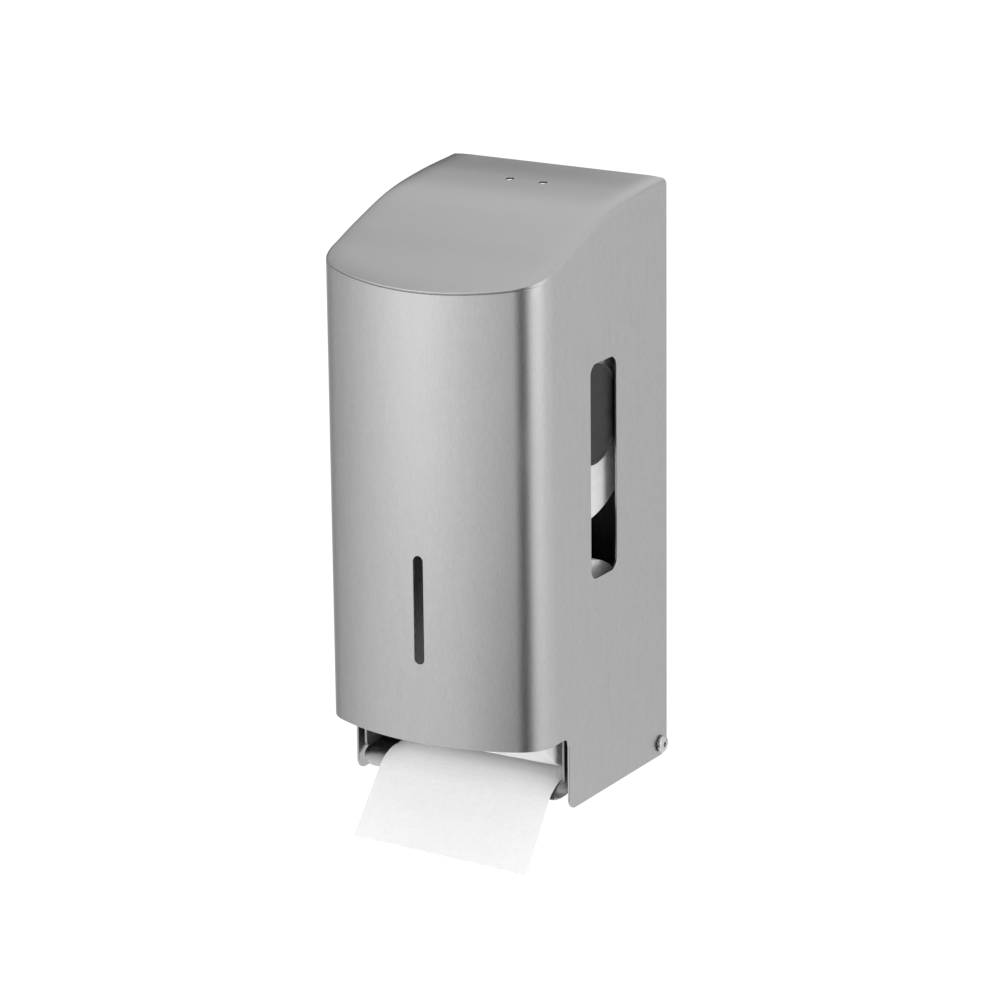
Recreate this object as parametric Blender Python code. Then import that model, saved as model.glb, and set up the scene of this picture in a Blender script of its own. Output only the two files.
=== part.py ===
# Double roll paper dispenser for a wall, in sheet steel.
# Units are metres. +Z is up, the wall is the plane y = 0 and the front faces -Y.
# Heights in the named sizes count from the cover's lower edge, depths from the wall.

import bpy
import bmesh
from math import acos, asin, atan2, ceil, cos, hypot, pi, radians, sin, sqrt, tan
from mathutils import Matrix, Vector

# Gaps between pieces
SEAT_GAP = 0.0003
CUT_OVERRUN = 0.006
ARC_STEP = radians(9)
SMALL_ARC_STEP = radians(20)
SMALL_RADIUS = 0.0065
SMOOTH_ANGLE = radians(32)

# Rolls, and the room kept round them
UPPER_ROLL_RADIUS = 0.0585
LOWER_ROLL_RADIUS = 0.054
ROLL_WIDTH = 0.102
UPPER_ROLL_SHIFT = 0.004
LOWER_ROLL_SHIFT = 0.003
ROLL_EDGE = 0.0009
ROLL_REAR_ROOM = 0.0122
ROLL_FRONT_ROOM = 0.00234
ROLL_SIDE_ROOM = 0.0078
ROLL_FOOT_ROOM = 0.0015
ROLL_SPACING = 0.0203
ROLL_HEAD_ROOM = 0.034
CORE_RADIUS = 0.0212
CORE_WALL = 0.0014
ROLL_SEGMENTS = 48

# Spindles
DISC_RADIUS = 0.026
DISC_RIM = 0.0006
DISC_RIM_WIDTH = 0.0016
DISC_WEB = 0.0016
DISC_INSET = 0.0021
SPINDLE_WALL = 0.0028
PLUG_WALL = 0.0032
PLUG_LENGTH = 0.026
SPINDLE_SEGMENTS = 32

# Cover
COVER_SHEET = 0.0012
COVER_REAR_GAP = 0.0003
CORNER_RADIUS = 0.0209
BOW_RADIUS = 0.1219
OUTLET_ROOM = 0.0267
OUTLET_RADIUS = 0.005
TAB_LEAD = 0.0016
TAB_RADIUS = 0.006
TOP_ROOM = 0.016
TOP_FALL = 0.0337
TOP_FALL_SHARES = ((0.0, 0.0), (0.22, 0.062), (0.44, 0.2), (0.67, 0.51), (0.79, 0.705), (1.0, 1.0))
TOP_STEPS = 20

# Openings in the cover
WINDOW_LEAD = 0.0178
WINDOW_WIDTH = 0.0263
WINDOW_RISE = 0.048
WINDOW_HEIGHT = 0.1123
WINDOW_RADIUS = 0.0055
SLOT_WIDTH = 0.0055
SLOT_SHIFT = 0.0025
SLOT_RISE = 0.0134
SLOT_HEIGHT = 0.0569
KEY_HOLE_RADIUS = 0.00235
KEY_HOLE_SPACING = 0.0195
KEY_HOLE_SETBACK = 0.0325

# Back plate
MOUNT_HEIGHT = 0.155
CHASSIS_SHEET = 0.0012
BEND_RADIUS = 0.0024
BACK_FOOT = 0.013
BACK_SHOULDER_DROP = 0.0083
BACK_CORNER = 0.006
SCREW_HOLE_RADIUS = 0.00275
SCREW_HEAD_RADIUS = 0.005
SCREW_SPACING_X = 0.056
SCREW_FOOT_MARGIN = 0.049
SCREW_TOP_MARGIN = 0.039
KEYHOLE_DROP = 0.009

# Cheeks with the tracks that the spindles stand in
FLANGE_WIDTH = 0.0156
CHEEK_RISE = 0.063
CHEEK_NOSE_RISE = 0.044
CHEEK_STRIP = 0.0195
CHEEK_FRONT_ROOM = 0.003
CHEEK_FOOT_LEAD = 0.0112
CHEEK_STEP_LOW = 0.044
CHEEK_STEP_HIGH = 0.058
CHEEK_CORNER = 0.006
EAR_FRONT = 0.0145
FLARE_RISE = 0.023
FLARE_REACH = 0.014
RIVET_SHARES = (0.172, 0.565, 0.954)

# Hinge of the cover
PIVOT_SETBACK = 0.0072
PIVOT_HEIGHT = 0.0065
PIVOT_SHANK = 0.002
PIVOT_HEAD = 0.0046
PIVOT_HEAD_HEIGHT = 0.0021
PIVOT_HEAD_RIM = 0.00095
PIVOT_HEAD_FLAT = 0.0019
PIVOT_TAIL = 0.0008
SOCKET_RADIUS = 0.0015
SOCKET_DEPTH = 0.0012
NUT_FLATS = 0.007
NUT_HEIGHT = 0.0032
NUT_ROOM = 0.00076
BUSH_SLEEVE = 0.0036
BUSH_FLANGE = 0.0058
HINGE_SEGMENTS = 24

# Paper shelf with its rolled front lip
SHELF_OVERHANG = 0.0015
SHELF_UPSTAND = 0.0215
SHELF_RIVET_X = 0.03
SHELF_RIVET_DROP = 0.008
LIP_RADIUS = 0.0155
LIP_LEAD = 0.0193
LIP_TURN = radians(58)
LIP_TAIL = 0.001
LIP_CORNER = 0.0085

# Loose end of the paper
TAIL_THICKNESS = 0.0004
TAIL_SPRING = 0.0065
TAIL_TURN = radians(51.8)
TAIL_LENGTH = 0.037

# Stops that hold the reserve roll
STOP_LENGTH = 0.023
STOP_NOSE_MARGIN = 0.0119
STOP_HALF_WIDTH = 0.0032
STOP_HUB = 0.0048
STOP_TAIL = 0.0115
STOP_TAIL_HALF_WIDTH = 0.0026
STOP_SHEET = 0.0012
STOP_TIP_CORNER = 0.0008
STOP_TAIL_CORNER = 0.002
STOP_SIDE_ROOM = 0.0004
STOP_PIN_SHANK = 0.0019
STOP_PIN_HEAD = 0.0033
STOP_PIN_INNER_HEAD = 0.001
STOP_PIN_OUTER_HEAD = 0.0006
PIN_CHAMFER = 0.0004
PIP_RADIUS = 0.0014
PIP_SETBACK = 0.0083

# Latch under the key holes
LATCH_SHELF_REACH = 0.014
LATCH_SHELF_WIDTH = 0.056
LEAF_THICKNESS = 0.0006
LEAF_WIDTH = 0.03
LEAF_LEAD = 0.013
LEAF_REAR = 0.0035
LEAF_NOTCH = 0.0025
HOOK_LEAD = 0.009
HOOK_CREST = 0.0024
HOOK_HEIGHT = 0.005
HOOK_TOE = 0.0008
HOOK_WIDTH = 0.018
CATCH_REACH = 0.013
CATCH_WIDTH = 0.026
CATCH_BITE = 0.003
CATCH_STEPS = 4
LATCH_RIVET_X = 0.0105
LATCH_RIVET_DEPTH = 0.0082

# Rivets
RIVET_SHANK = 0.0016
RIVET_HEAD = 0.0029
RIVET_DOME = 0.0011
RIVET_RECESS = 0.0003
RIVET_SEGMENTS = 16

# Round the spindles and rivets
SHANK_HOLE = RIVET_SHANK + SEAT_GAP
TRACK_RADIUS = DISC_RADIUS + SEAT_GAP
SPINDLE_RADIUS = CORE_RADIUS - CORE_WALL - SEAT_GAP

# Across the width, from the rolls out to the cover
CHEEK_INSIDE = ROLL_WIDTH / 2 + ROLL_SIDE_ROOM
CHEEK_OUTSIDE = CHEEK_INSIDE + CHASSIS_SHEET
STOP_OUTSIDE = CHEEK_OUTSIDE + SEAT_GAP + STOP_SHEET
COVER_INSIDE = STOP_OUTSIDE + SEAT_GAP + STOP_PIN_OUTER_HEAD + STOP_SIDE_ROOM
COVER_HALF = COVER_INSIDE + COVER_SHEET
UPPER_ROLL_END = ROLL_WIDTH / 2 + UPPER_ROLL_SHIFT
LOWER_ROLL_END = ROLL_WIDTH / 2 + LOWER_ROLL_SHIFT

# Up the height, from the hinge to the top
NUT_RADIUS = NUT_FLATS / 2 / cos(pi / 6)
SHELF_HEIGHT = PIVOT_HEIGHT + NUT_RADIUS + NUT_ROOM + CHASSIS_SHEET
OUTLET_HEIGHT = SHELF_HEIGHT + OUTLET_ROOM
LOWER_AXIS = SHELF_HEIGHT + ROLL_FOOT_ROOM + LOWER_ROLL_RADIUS
UPPER_AXIS = LOWER_AXIS + LOWER_ROLL_RADIUS + ROLL_SPACING + UPPER_ROLL_RADIUS
LATCH_SHELF_HEIGHT = UPPER_AXIS + UPPER_ROLL_RADIUS + ROLL_HEAD_ROOM
COVER_HEIGHT = LATCH_SHELF_HEIGHT + TOP_ROOM
BACK_TOP = LATCH_SHELF_HEIGHT - BACK_SHOULDER_DROP
CHEEK_TOP = UPPER_AXIS + CHEEK_RISE
CHEEK_NOSE_HEIGHT = UPPER_AXIS + CHEEK_NOSE_RISE
SCREW_LOW = BACK_FOOT + SCREW_FOOT_MARGIN
SCREW_HIGH = BACK_TOP - SCREW_TOP_MARGIN
RIVET_HEIGHTS = [share * CHEEK_TOP for share in RIVET_SHARES]

# Out from the wall, from the back plate to the bowed front
FLANGE_BACK = -CHASSIS_SHEET - SEAT_GAP
FLANGE_FRONT = FLANGE_BACK - CHASSIS_SHEET
ROLL_DEPTH = ROLL_REAR_ROOM + UPPER_ROLL_RADIUS
LIP_START = ROLL_DEPTH + LIP_LEAD
CHEEK_FOOT_DEPTH = LIP_START + CHEEK_FOOT_LEAD
CHEEK_BODY_DEPTH = ROLL_DEPTH + TRACK_RADIUS + CHEEK_STRIP
TAB_DEPTH = CHEEK_FOOT_DEPTH + TAB_LEAD
HOOK_DEPTH = KEY_HOLE_SETBACK + HOOK_LEAD
LEAF_REACH = HOOK_DEPTH + LEAF_LEAD
INNER_CORNER = CORNER_RADIUS - COVER_SHEET
CORNER_CENTRE = COVER_HALF - CORNER_RADIUS
SIDE_STRAIGHT = max(
    ROLL_DEPTH + UPPER_ROLL_RADIUS + ROLL_FRONT_ROOM
    - sqrt(INNER_CORNER ** 2 - (UPPER_ROLL_END - CORNER_CENTRE) ** 2),
    CHEEK_BODY_DEPTH + CHEEK_FRONT_ROOM - sqrt(INNER_CORNER ** 2 - (CHEEK_OUTSIDE - CORNER_CENTRE) ** 2),
)
COVER_DEPTH = SIDE_STRAIGHT + BOW_RADIUS - sqrt((BOW_RADIUS - CORNER_RADIUS) ** 2 - CORNER_CENTRE ** 2)

# Stops, whose pivots stand in the strip before the tracks
STOP_PIVOT_REACH = TRACK_RADIUS + STOP_LENGTH
STOP_ANGLE = acos((CHEEK_BODY_DEPTH - STOP_NOSE_MARGIN - ROLL_DEPTH) / STOP_PIVOT_REACH)


def clear_scene():
    for item in list(bpy.data.objects):
        bpy.data.objects.remove(item, do_unlink=True)


def finish(name, colour, roughness, metallic):
    material = bpy.data.materials.new(name)
    material.use_nodes = True
    shader = material.node_tree.nodes["Principled BSDF"]
    shader.inputs["Base Color"].default_value = (*colour, 1)
    shader.inputs["Roughness"].default_value = roughness
    shader.inputs["Metallic"].default_value = metallic
    material.diffuse_color = (*colour, 1)
    return material


def arc(centre, radius, start, end):
    step = ARC_STEP if radius > SMALL_RADIUS else SMALL_ARC_STEP
    count = max(2, ceil(abs(end - start) / step))
    angles = [start + (end - start) * index / count for index in range(count + 1)]
    return [(centre[0] + radius * cos(angle), centre[1] + radius * sin(angle)) for angle in angles]


def fillet(before, corner, after, radius):
    corner = Vector(corner)
    back = (Vector(before) - corner).normalized()
    ahead = (Vector(after) - corner).normalized()
    half = back.angle(ahead) / 2
    centre = corner + (back + ahead).normalized() * (radius / sin(half))
    first = corner + back * (radius / tan(half)) - centre
    last = corner + ahead * (radius / tan(half)) - centre
    start = atan2(first.y, first.x)
    turn = atan2(first.x * last.y - first.y * last.x, first.dot(last))
    return arc(centre, radius, start, start + turn)


def rounded(corners, closed=True):
    # Corners are (u, v, radius); an open line keeps its two ends sharp
    points = []
    count = len(corners)
    for index, (u, v, radius) in enumerate(corners):
        at_end = not closed and index in (0, count - 1)
        if radius > 0 and not at_end:
            before = corners[index - 1][:2]
            after = corners[(index + 1) % count][:2]
            points += fillet(before, (u, v), after, radius)
        else:
            points.append((u, v))
    return points


def rectangle(low, high, radius=0.0):
    (u0, v0), (u1, v1) = low, high
    return rounded([(u0, v0, radius), (u1, v0, radius), (u1, v1, radius), (u0, v1, radius)])


def circle(centre, radius):
    return arc(centre, radius, 0, 2 * pi)[:-1]


def strip(line, thickness):
    # Closed outline of a bent sheet whose middle follows the line
    middle = [Vector(point) for point in line]
    sides = ([], [])
    for index, point in enumerate(middle):
        before = (point - middle[index - 1]).normalized() if index else None
        after = (middle[index + 1] - point).normalized() if index + 1 < len(middle) else None
        along = (before + after).normalized() if before and after else before or after
        normal = Vector((-along.y, along.x))
        spread = thickness / 2 / (normal.dot(Vector((-after.y, after.x))) if after else 1)
        sides[0].append(tuple(point + normal * spread))
        sides[1].append(tuple(point - normal * spread))
    return sides[0] + sides[1][::-1]


def add_prism(mesh, outline, axis, low, high):
    def lift(u, v, along):
        return {"X": (along, u, v), "Y": (u, along, v), "Z": (u, v, along)}[axis]

    face = mesh.faces.new([mesh.verts.new(lift(u, v, low)) for u, v in outline])
    grown = bmesh.ops.extrude_face_region(mesh, geom=[face])
    moved = [item for item in grown["geom"] if isinstance(item, bmesh.types.BMVert)]
    bmesh.ops.translate(mesh, verts=moved, vec=lift(0, 0, high - low))


def as_object(name, mesh, material=None):
    bmesh.ops.recalc_face_normals(mesh, faces=mesh.faces)
    data = bpy.data.meshes.new(name)
    mesh.to_mesh(data)
    mesh.free()
    item = bpy.data.objects.new(name, data)
    bpy.context.scene.collection.objects.link(item)
    if material:
        data.materials.append(material)
        data.shade_smooth()
        data.set_sharp_from_angle(angle=SMOOTH_ANGLE)
    return item


def prisms(name, blocks, material=None):
    mesh = bmesh.new()
    for outline, axis, low, high in blocks:
        add_prism(mesh, outline, axis, min(low, high), max(low, high))
    return as_object(name, mesh, material)


def turned(name, profile, place, axis, segments, material=None):
    # Profile is a closed outline of (along the axis, radius)
    mesh = bmesh.new()
    verts = [mesh.verts.new((along, 0, radius)) for along, radius in profile]
    edges = [
        mesh.edges.new((verts[index], verts[(index + 1) % len(verts)]))
        for index in range(len(verts))
        if profile[index][1] > 0 or profile[(index + 1) % len(verts)][1] > 0
    ]
    bmesh.ops.spin(
        mesh, geom=verts + edges, cent=(0, 0, 0), axis=(1, 0, 0),
        angle=2 * pi, steps=segments, use_merge=True,
    )
    bmesh.ops.remove_doubles(mesh, verts=mesh.verts, dist=SEAT_GAP / 100)
    if axis == "Y":
        bmesh.ops.rotate(mesh, verts=mesh.verts, cent=(0, 0, 0), matrix=Matrix.Rotation(pi / 2, 3, "Z"))
    if axis == "Z":
        bmesh.ops.rotate(mesh, verts=mesh.verts, cent=(0, 0, 0), matrix=Matrix.Rotation(-pi / 2, 3, "Y"))
    bmesh.ops.translate(mesh, verts=mesh.verts, vec=place)
    return as_object(name, mesh, material)


def shape_with(target, tool, operation):
    change = target.modifiers.new(tool.name, "BOOLEAN")
    change.operation = operation
    change.solver = "EXACT"
    change.object = tool
    tool.hide_render = True
    tool.display_type = "WIRE"


def cut(target, blocks):
    shape_with(target, prisms(target.name + "_cutter", blocks), "DIFFERENCE")


def trim(target, outline, axis, reach):
    shape_with(target, prisms(target.name + "_outline", [(outline, axis, -reach, reach)]), "INTERSECT")


def seat(items, frame):
    # Meshes and their cutters move into the frame of an empty on the joint's axis
    for item in items:
        for piece in [item] + [change.object for change in item.modifiers if change.type == "BOOLEAN"]:
            piece.data.transform(Matrix.Translation(-Vector(frame.location)))
            piece.parent = frame


def empty(name, place, parent=None):
    item = bpy.data.objects.new(name, None)
    bpy.context.scene.collection.objects.link(item)
    item.location = place
    item.parent = parent
    return item


def top_height(depth):
    # Cubic through the stations of the curved top
    share = min(max(depth / COVER_DEPTH, 0), 1)
    stations = TOP_FALL_SHARES
    index = max(i for i in range(len(stations) - 1) if share >= stations[i][0])
    (s0, f0), (s1, f1) = stations[index], stations[index + 1]

    def slope(i):
        low, high = stations[max(i - 1, 0)], stations[min(i + 1, len(stations) - 1)]
        return (high[1] - low[1]) / (high[0] - low[0])

    span = s1 - s0
    t = (share - s0) / span
    fall = (
        f0 * (2 * t ** 3 - 3 * t ** 2 + 1) + slope(index) * span * (t ** 3 - 2 * t ** 2 + t)
        + f1 * (3 * t ** 2 - 2 * t ** 3) + slope(index + 1) * span * (t ** 3 - t ** 2)
    )
    return COVER_HEIGHT - TOP_FALL * fall


def top_line(lowered, start, end, steps=TOP_STEPS):
    depths = [start + (end - start) * index / steps for index in range(steps + 1)]
    return [(-depth, top_height(depth) - lowered) for depth in depths]


def plan_line(inset):
    # Left rear corner, round the bowed front, to the right rear corner
    corner = CORNER_RADIUS - inset
    bow = BOW_RADIUS - inset
    half = COVER_HALF - inset
    spread = asin(CORNER_CENTRE / (BOW_RADIUS - CORNER_RADIUS))
    right = arc((CORNER_CENTRE, -SIDE_STRAIGHT), corner, 0, spread - pi / 2)
    front = arc((0, BOW_RADIUS - COVER_DEPTH), bow, -pi / 2, spread - pi / 2)
    half_line = front[:-1] + right[::-1] + [(half, -COVER_REAR_GAP)]
    return [(-x, y) for x, y in half_line[:0:-1]] + half_line


def make_cover(steel):
    wall = plan_line(0) + plan_line(COVER_SHEET)[::-1]
    wrap = prisms("cover_wrap", [(wall, "Z", 0, COVER_HEIGHT)], steel)
    beyond = COVER_DEPTH + CUT_OVERRUN
    side = rounded([
        (-beyond, OUTLET_HEIGHT, 0),
        (-TAB_DEPTH, OUTLET_HEIGHT, OUTLET_RADIUS),
        (-TAB_DEPTH, 0, TAB_RADIUS),
        (0, 0, PIVOT_HEIGHT),
        (0, OUTLET_HEIGHT, 0),
    ]) + top_line(COVER_SHEET + SEAT_GAP, 0, beyond)
    trim(wrap, side, "X", 2 * COVER_HALF)
    rear = WINDOW_LEAD - ROLL_DEPTH
    sill = LOWER_AXIS + WINDOW_RISE
    window = rectangle((rear - WINDOW_WIDTH, sill), (rear, sill + WINDOW_HEIGHT), WINDOW_RADIUS)
    end = SLOT_WIDTH / 2
    sill = LOWER_AXIS + SLOT_RISE
    slot = arc((SLOT_SHIFT, sill + end), end, -pi, 0) + arc((SLOT_SHIFT, sill + SLOT_HEIGHT - end), end, 0, pi)
    pivot = circle((-PIVOT_SETBACK, PIVOT_HEIGHT), BUSH_SLEEVE + SEAT_GAP)
    cut(wrap, [
        (window, "X", COVER_INSIDE - CUT_OVERRUN, COVER_HALF + CUT_OVERRUN),
        (slot, "Y", -beyond, CUT_OVERRUN - COVER_DEPTH),
        (pivot, "X", COVER_INSIDE - CUT_OVERRUN, COVER_HALF + CUT_OVERRUN),
        (pivot, "X", -COVER_HALF - CUT_OVERRUN, CUT_OVERRUN - COVER_INSIDE),
    ])

    panel = top_line(0, 0, beyond) + top_line(COVER_SHEET, 0, beyond)[::-1]
    top = prisms("cover_top", [(panel, "X", -2 * COVER_HALF, 2 * COVER_HALF)], steel)
    trim(top, plan_line(0), "Z", 2 * COVER_HEIGHT)
    key_holes = [
        (circle((side * KEY_HOLE_SPACING / 2, -KEY_HOLE_SETBACK), KEY_HOLE_RADIUS), "Z",
         COVER_HEIGHT - TOP_FALL, COVER_HEIGHT + CUT_OVERRUN)
        for side in (-1, 1)
    ]
    cut(top, key_holes)

    under = COVER_SHEET + SEAT_GAP
    rear = HOOK_DEPTH - SEAT_GAP - COVER_SHEET
    foot = LATCH_SHELF_HEIGHT + SEAT_GAP + LEAF_THICKNESS + SEAT_GAP + HOOK_HEIGHT - CATCH_BITE
    upper = top_line(under, rear, rear + CATCH_REACH, CATCH_STEPS)
    lower = top_line(under + COVER_SHEET, rear + COVER_SHEET, rear + CATCH_REACH, CATCH_STEPS)[::-1]
    hook = [(-rear - COVER_SHEET, foot), (-rear, foot)]
    catch = prisms("cover_catch", [(upper + lower + hook, "X", -CATCH_WIDTH / 2, CATCH_WIDTH / 2)], steel)
    return [wrap, top, catch]


def make_back_plate(steel):
    middle = CHASSIS_SHEET / 2
    line = rounded([
        (-middle, BACK_FOOT, 0),
        (-middle, LATCH_SHELF_HEIGHT - middle, BEND_RADIUS),
        (-LATCH_SHELF_REACH, LATCH_SHELF_HEIGHT - middle, 0),
    ], closed=False)
    plate = prisms("back_plate", [(strip(line, CHASSIS_SHEET), "X", -CHEEK_OUTSIDE, CHEEK_OUTSIDE)], steel)
    neck = LATCH_SHELF_WIDTH / 2
    above = LATCH_SHELF_HEIGHT + CUT_OVERRUN
    trim(plate, rounded([
        (-CHEEK_OUTSIDE, BACK_FOOT, BACK_CORNER),
        (CHEEK_OUTSIDE, BACK_FOOT, BACK_CORNER),
        (CHEEK_OUTSIDE, BACK_TOP, BACK_CORNER),
        (neck, BACK_TOP, BEND_RADIUS),
        (neck, above, 0),
        (-neck, above, 0),
        (-neck, BACK_TOP, BEND_RADIUS),
        (-CHEEK_OUTSIDE, BACK_TOP, BACK_CORNER),
    ]), "Y", CUT_OVERRUN + LATCH_SHELF_REACH)
    holes = []
    for side in (-1, 1):
        x = side * SCREW_SPACING_X / 2
        holes.append(circle((x, SCREW_LOW), SCREW_HOLE_RADIUS))
        angle = asin(SCREW_HOLE_RADIUS / SCREW_HEAD_RADIUS)
        wide = arc((x, SCREW_HIGH - KEYHOLE_DROP), SCREW_HEAD_RADIUS, pi / 2 + angle, 5 * pi / 2 - angle)
        holes.append(wide + arc((x, SCREW_HIGH), SCREW_HOLE_RADIUS, 0, pi))
        holes.append(circle(shelf_rivet(side), SHANK_HOLE))
        holes += [circle((side * flange_rivet_x(), height), SHANK_HOLE) for height in RIVET_HEIGHTS]
    through = [(hole, "Y", -CUT_OVERRUN / 2, CUT_OVERRUN / 2) for hole in holes]
    latch = [
        (circle((side * LATCH_RIVET_X, -LATCH_RIVET_DEPTH), SHANK_HOLE), "Z",
         LATCH_SHELF_HEIGHT - CUT_OVERRUN, LATCH_SHELF_HEIGHT + CUT_OVERRUN)
        for side in (-1, 1)
    ]
    cut(plate, through + latch)
    return plate


def flange_rivet_x():
    return CHEEK_INSIDE - FLANGE_WIDTH / 2


def shelf_rivet(side):
    return (side * SHELF_RIVET_X, SHELF_HEIGHT + SHELF_UPSTAND - SHELF_RIVET_DROP)


def stop_pivot():
    # The stop stands on the line from the reserve spindle through its contact
    depth = ROLL_DEPTH + STOP_PIVOT_REACH * cos(STOP_ANGLE)
    return (-depth, UPPER_AXIS - STOP_PIVOT_REACH * sin(STOP_ANGLE))


def along_stop(ahead, aside):
    # A point beside the stop's pivot, measured towards the spindle and across
    u, v = stop_pivot()
    return (
        u + ahead * cos(STOP_ANGLE) - aside * sin(STOP_ANGLE),
        v + ahead * sin(STOP_ANGLE) + aside * cos(STOP_ANGLE),
    )


def make_cheek(name, side, steel):
    middle = CHASSIS_SHEET / 2
    tip = CHEEK_INSIDE - FLANGE_WIDTH
    line = rounded([
        (side * tip, FLANGE_BACK - middle, 0),
        (side * (CHEEK_OUTSIDE - middle), FLANGE_BACK - middle, BEND_RADIUS),
        (side * (CHEEK_OUTSIDE - middle), -CHEEK_BODY_DEPTH - CUT_OVERRUN, 0),
    ], closed=False)
    cheek = prisms(name, [(strip(line, CHASSIS_SHEET), "Z", 0, CHEEK_TOP + CUT_OVERRUN)], steel)
    ear_rear = FLANGE_FRONT - SEAT_GAP
    foot = SHELF_HEIGHT + SEAT_GAP
    trim(cheek, rounded([
        (CUT_OVERRUN, foot, 0),
        (ear_rear, foot, 0),
        (ear_rear, SEAT_GAP, PIVOT_HEIGHT / 2),
        (-EAR_FRONT, SEAT_GAP, PIVOT_HEIGHT / 2),
        (-EAR_FRONT, foot, 0),
        (-CHEEK_FOOT_DEPTH, foot, CHEEK_CORNER / 2),
        (-CHEEK_FOOT_DEPTH, CHEEK_STEP_LOW, CHEEK_CORNER),
        (-CHEEK_BODY_DEPTH, CHEEK_STEP_HIGH, CHEEK_CORNER),
        (-CHEEK_BODY_DEPTH, CHEEK_NOSE_HEIGHT, CHEEK_CORNER / 2),
        (-ROLL_DEPTH - TRACK_RADIUS, CHEEK_NOSE_HEIGHT, 0),
        (-ROLL_DEPTH, CHEEK_TOP, 0),
        (CUT_OVERRUN, CHEEK_TOP, 0),
    ]), "X", 2 * COVER_HALF)
    above = CHEEK_TOP + CUT_OVERRUN
    front = -ROLL_DEPTH - TRACK_RADIUS
    track = arc((-ROLL_DEPTH, LOWER_AXIS), TRACK_RADIUS, -pi, 0) + rounded([
        (-ROLL_DEPTH + TRACK_RADIUS, above, 0),
        (front - FLARE_REACH, above, 0),
        (front - FLARE_REACH, CHEEK_NOSE_HEIGHT + CUT_OVERRUN, 0),
        (front, UPPER_AXIS + FLARE_RISE, CHEEK_CORNER),
        (front, LOWER_AXIS, 0),
    ])[:-1]
    inner, outer = side * (CHEEK_INSIDE - CUT_OVERRUN), side * (CHEEK_OUTSIDE + CUT_OVERRUN)
    pivot = circle((-PIVOT_SETBACK, PIVOT_HEIGHT), PIVOT_SHANK + SEAT_GAP)
    stop = circle(stop_pivot(), STOP_PIN_SHANK + SEAT_GAP)
    blocks = [(track, "X", inner, outer), (pivot, "X", inner, outer), (stop, "X", inner, outer)]
    blocks += [
        (circle((side * flange_rivet_x(), height), SHANK_HOLE), "Y", FLANGE_FRONT - SEAT_GAP, 0)
        for height in RIVET_HEIGHTS
    ]
    cut(cheek, blocks)
    # Pip that the stop's tail rests against
    edge = STOP_HUB + (STOP_TAIL_HALF_WIDTH - STOP_HUB) * PIP_SETBACK / STOP_TAIL
    pip = circle(along_stop(-PIP_SETBACK, edge + 2 * SEAT_GAP + PIP_RADIUS), PIP_RADIUS)
    root = side * (CHEEK_OUTSIDE - middle)
    shape_with(cheek, prisms(name + "_pip", [(pip, "X", root, side * STOP_OUTSIDE)]), "UNION")
    return cheek


def make_shelf(steel):
    middle = CHASSIS_SHEET / 2
    bend = LIP_RADIUS - middle
    reach = bend * tan(LIP_TURN / 2)
    corner = (-LIP_START - reach, SHELF_HEIGHT - middle)
    end = reach + LIP_TAIL
    line = rounded([
        (FLANGE_BACK - middle, SHELF_HEIGHT + SHELF_UPSTAND, 0),
        (FLANGE_BACK - middle, SHELF_HEIGHT - middle, BEND_RADIUS),
        (*corner, bend),
        (corner[0] - end * cos(LIP_TURN), corner[1] - end * sin(LIP_TURN), 0),
    ], closed=False)
    half = CHEEK_OUTSIDE + SHELF_OVERHANG
    shelf = prisms("paper_shelf", [(strip(line, CHASSIS_SHEET), "X", -half, half)], steel)
    inner = CHEEK_INSIDE - SEAT_GAP
    upstand = CHEEK_INSIDE - FLANGE_WIDTH - SEAT_GAP
    waist = -EAR_FRONT - SEAT_GAP - BEND_RADIUS
    neck = FLANGE_FRONT - SEAT_GAP - BEND_RADIUS
    lip = corner[0] - end * cos(LIP_TURN) - middle
    right = [
        (upstand, CUT_OVERRUN, 0), (upstand, neck, 0), (inner, neck, 0),
        (inner, waist, BEND_RADIUS), (half, waist, BEND_RADIUS), (half, lip, LIP_CORNER),
    ]
    trim(shelf, rounded([(-x, y, r) for x, y, r in right] + right[::-1]), "Z", COVER_HEIGHT)
    cut(shelf, [
        (circle(shelf_rivet(side), SHANK_HOLE), "Y", FLANGE_FRONT - CUT_OVERRUN, 0) for side in (-1, 1)
    ])
    return shelf


def rivet(name, place, axis, grip, facing, steel):
    # Domed head at the place, shank running back through the sheets
    dome = [(-RIVET_DOME * sin(angle), RIVET_HEAD * cos(angle)) for angle in (0, pi / 6, pi / 3)]
    outline = [(grip, 0), (grip, RIVET_SHANK), (0, RIVET_SHANK)] + dome + [(-RIVET_DOME, 0)]
    outline = [(-facing * along, radius) for along, radius in outline]
    return turned(name, outline, place, axis, RIVET_SEGMENTS, steel)


def make_rivets(steel):
    front = FLANGE_FRONT - SEAT_GAP
    grip = -front - RIVET_RECESS
    rivets = []
    for side, word in ((-1, "left"), (1, "right")):
        for height, level in zip(RIVET_HEIGHTS, ("low", "mid", "top")):
            place = (side * flange_rivet_x(), front, height)
            rivets.append(rivet(f"cheek_rivet_{word}_{level}", place, "Y", grip, -1, steel))
        x, height = shelf_rivet(side)
        place = (x, front, height)
        rivets.append(rivet(f"shelf_rivet_{word}", place, "Y", grip, -1, steel))
        height = LATCH_SHELF_HEIGHT + 2 * SEAT_GAP + LEAF_THICKNESS
        stack = height - LATCH_SHELF_HEIGHT + CHASSIS_SHEET
        place = (side * LATCH_RIVET_X, -LATCH_RIVET_DEPTH, height)
        rivets.append(rivet(f"latch_rivet_{word}", place, "Z", stack, 1, steel))
    return rivets


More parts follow.
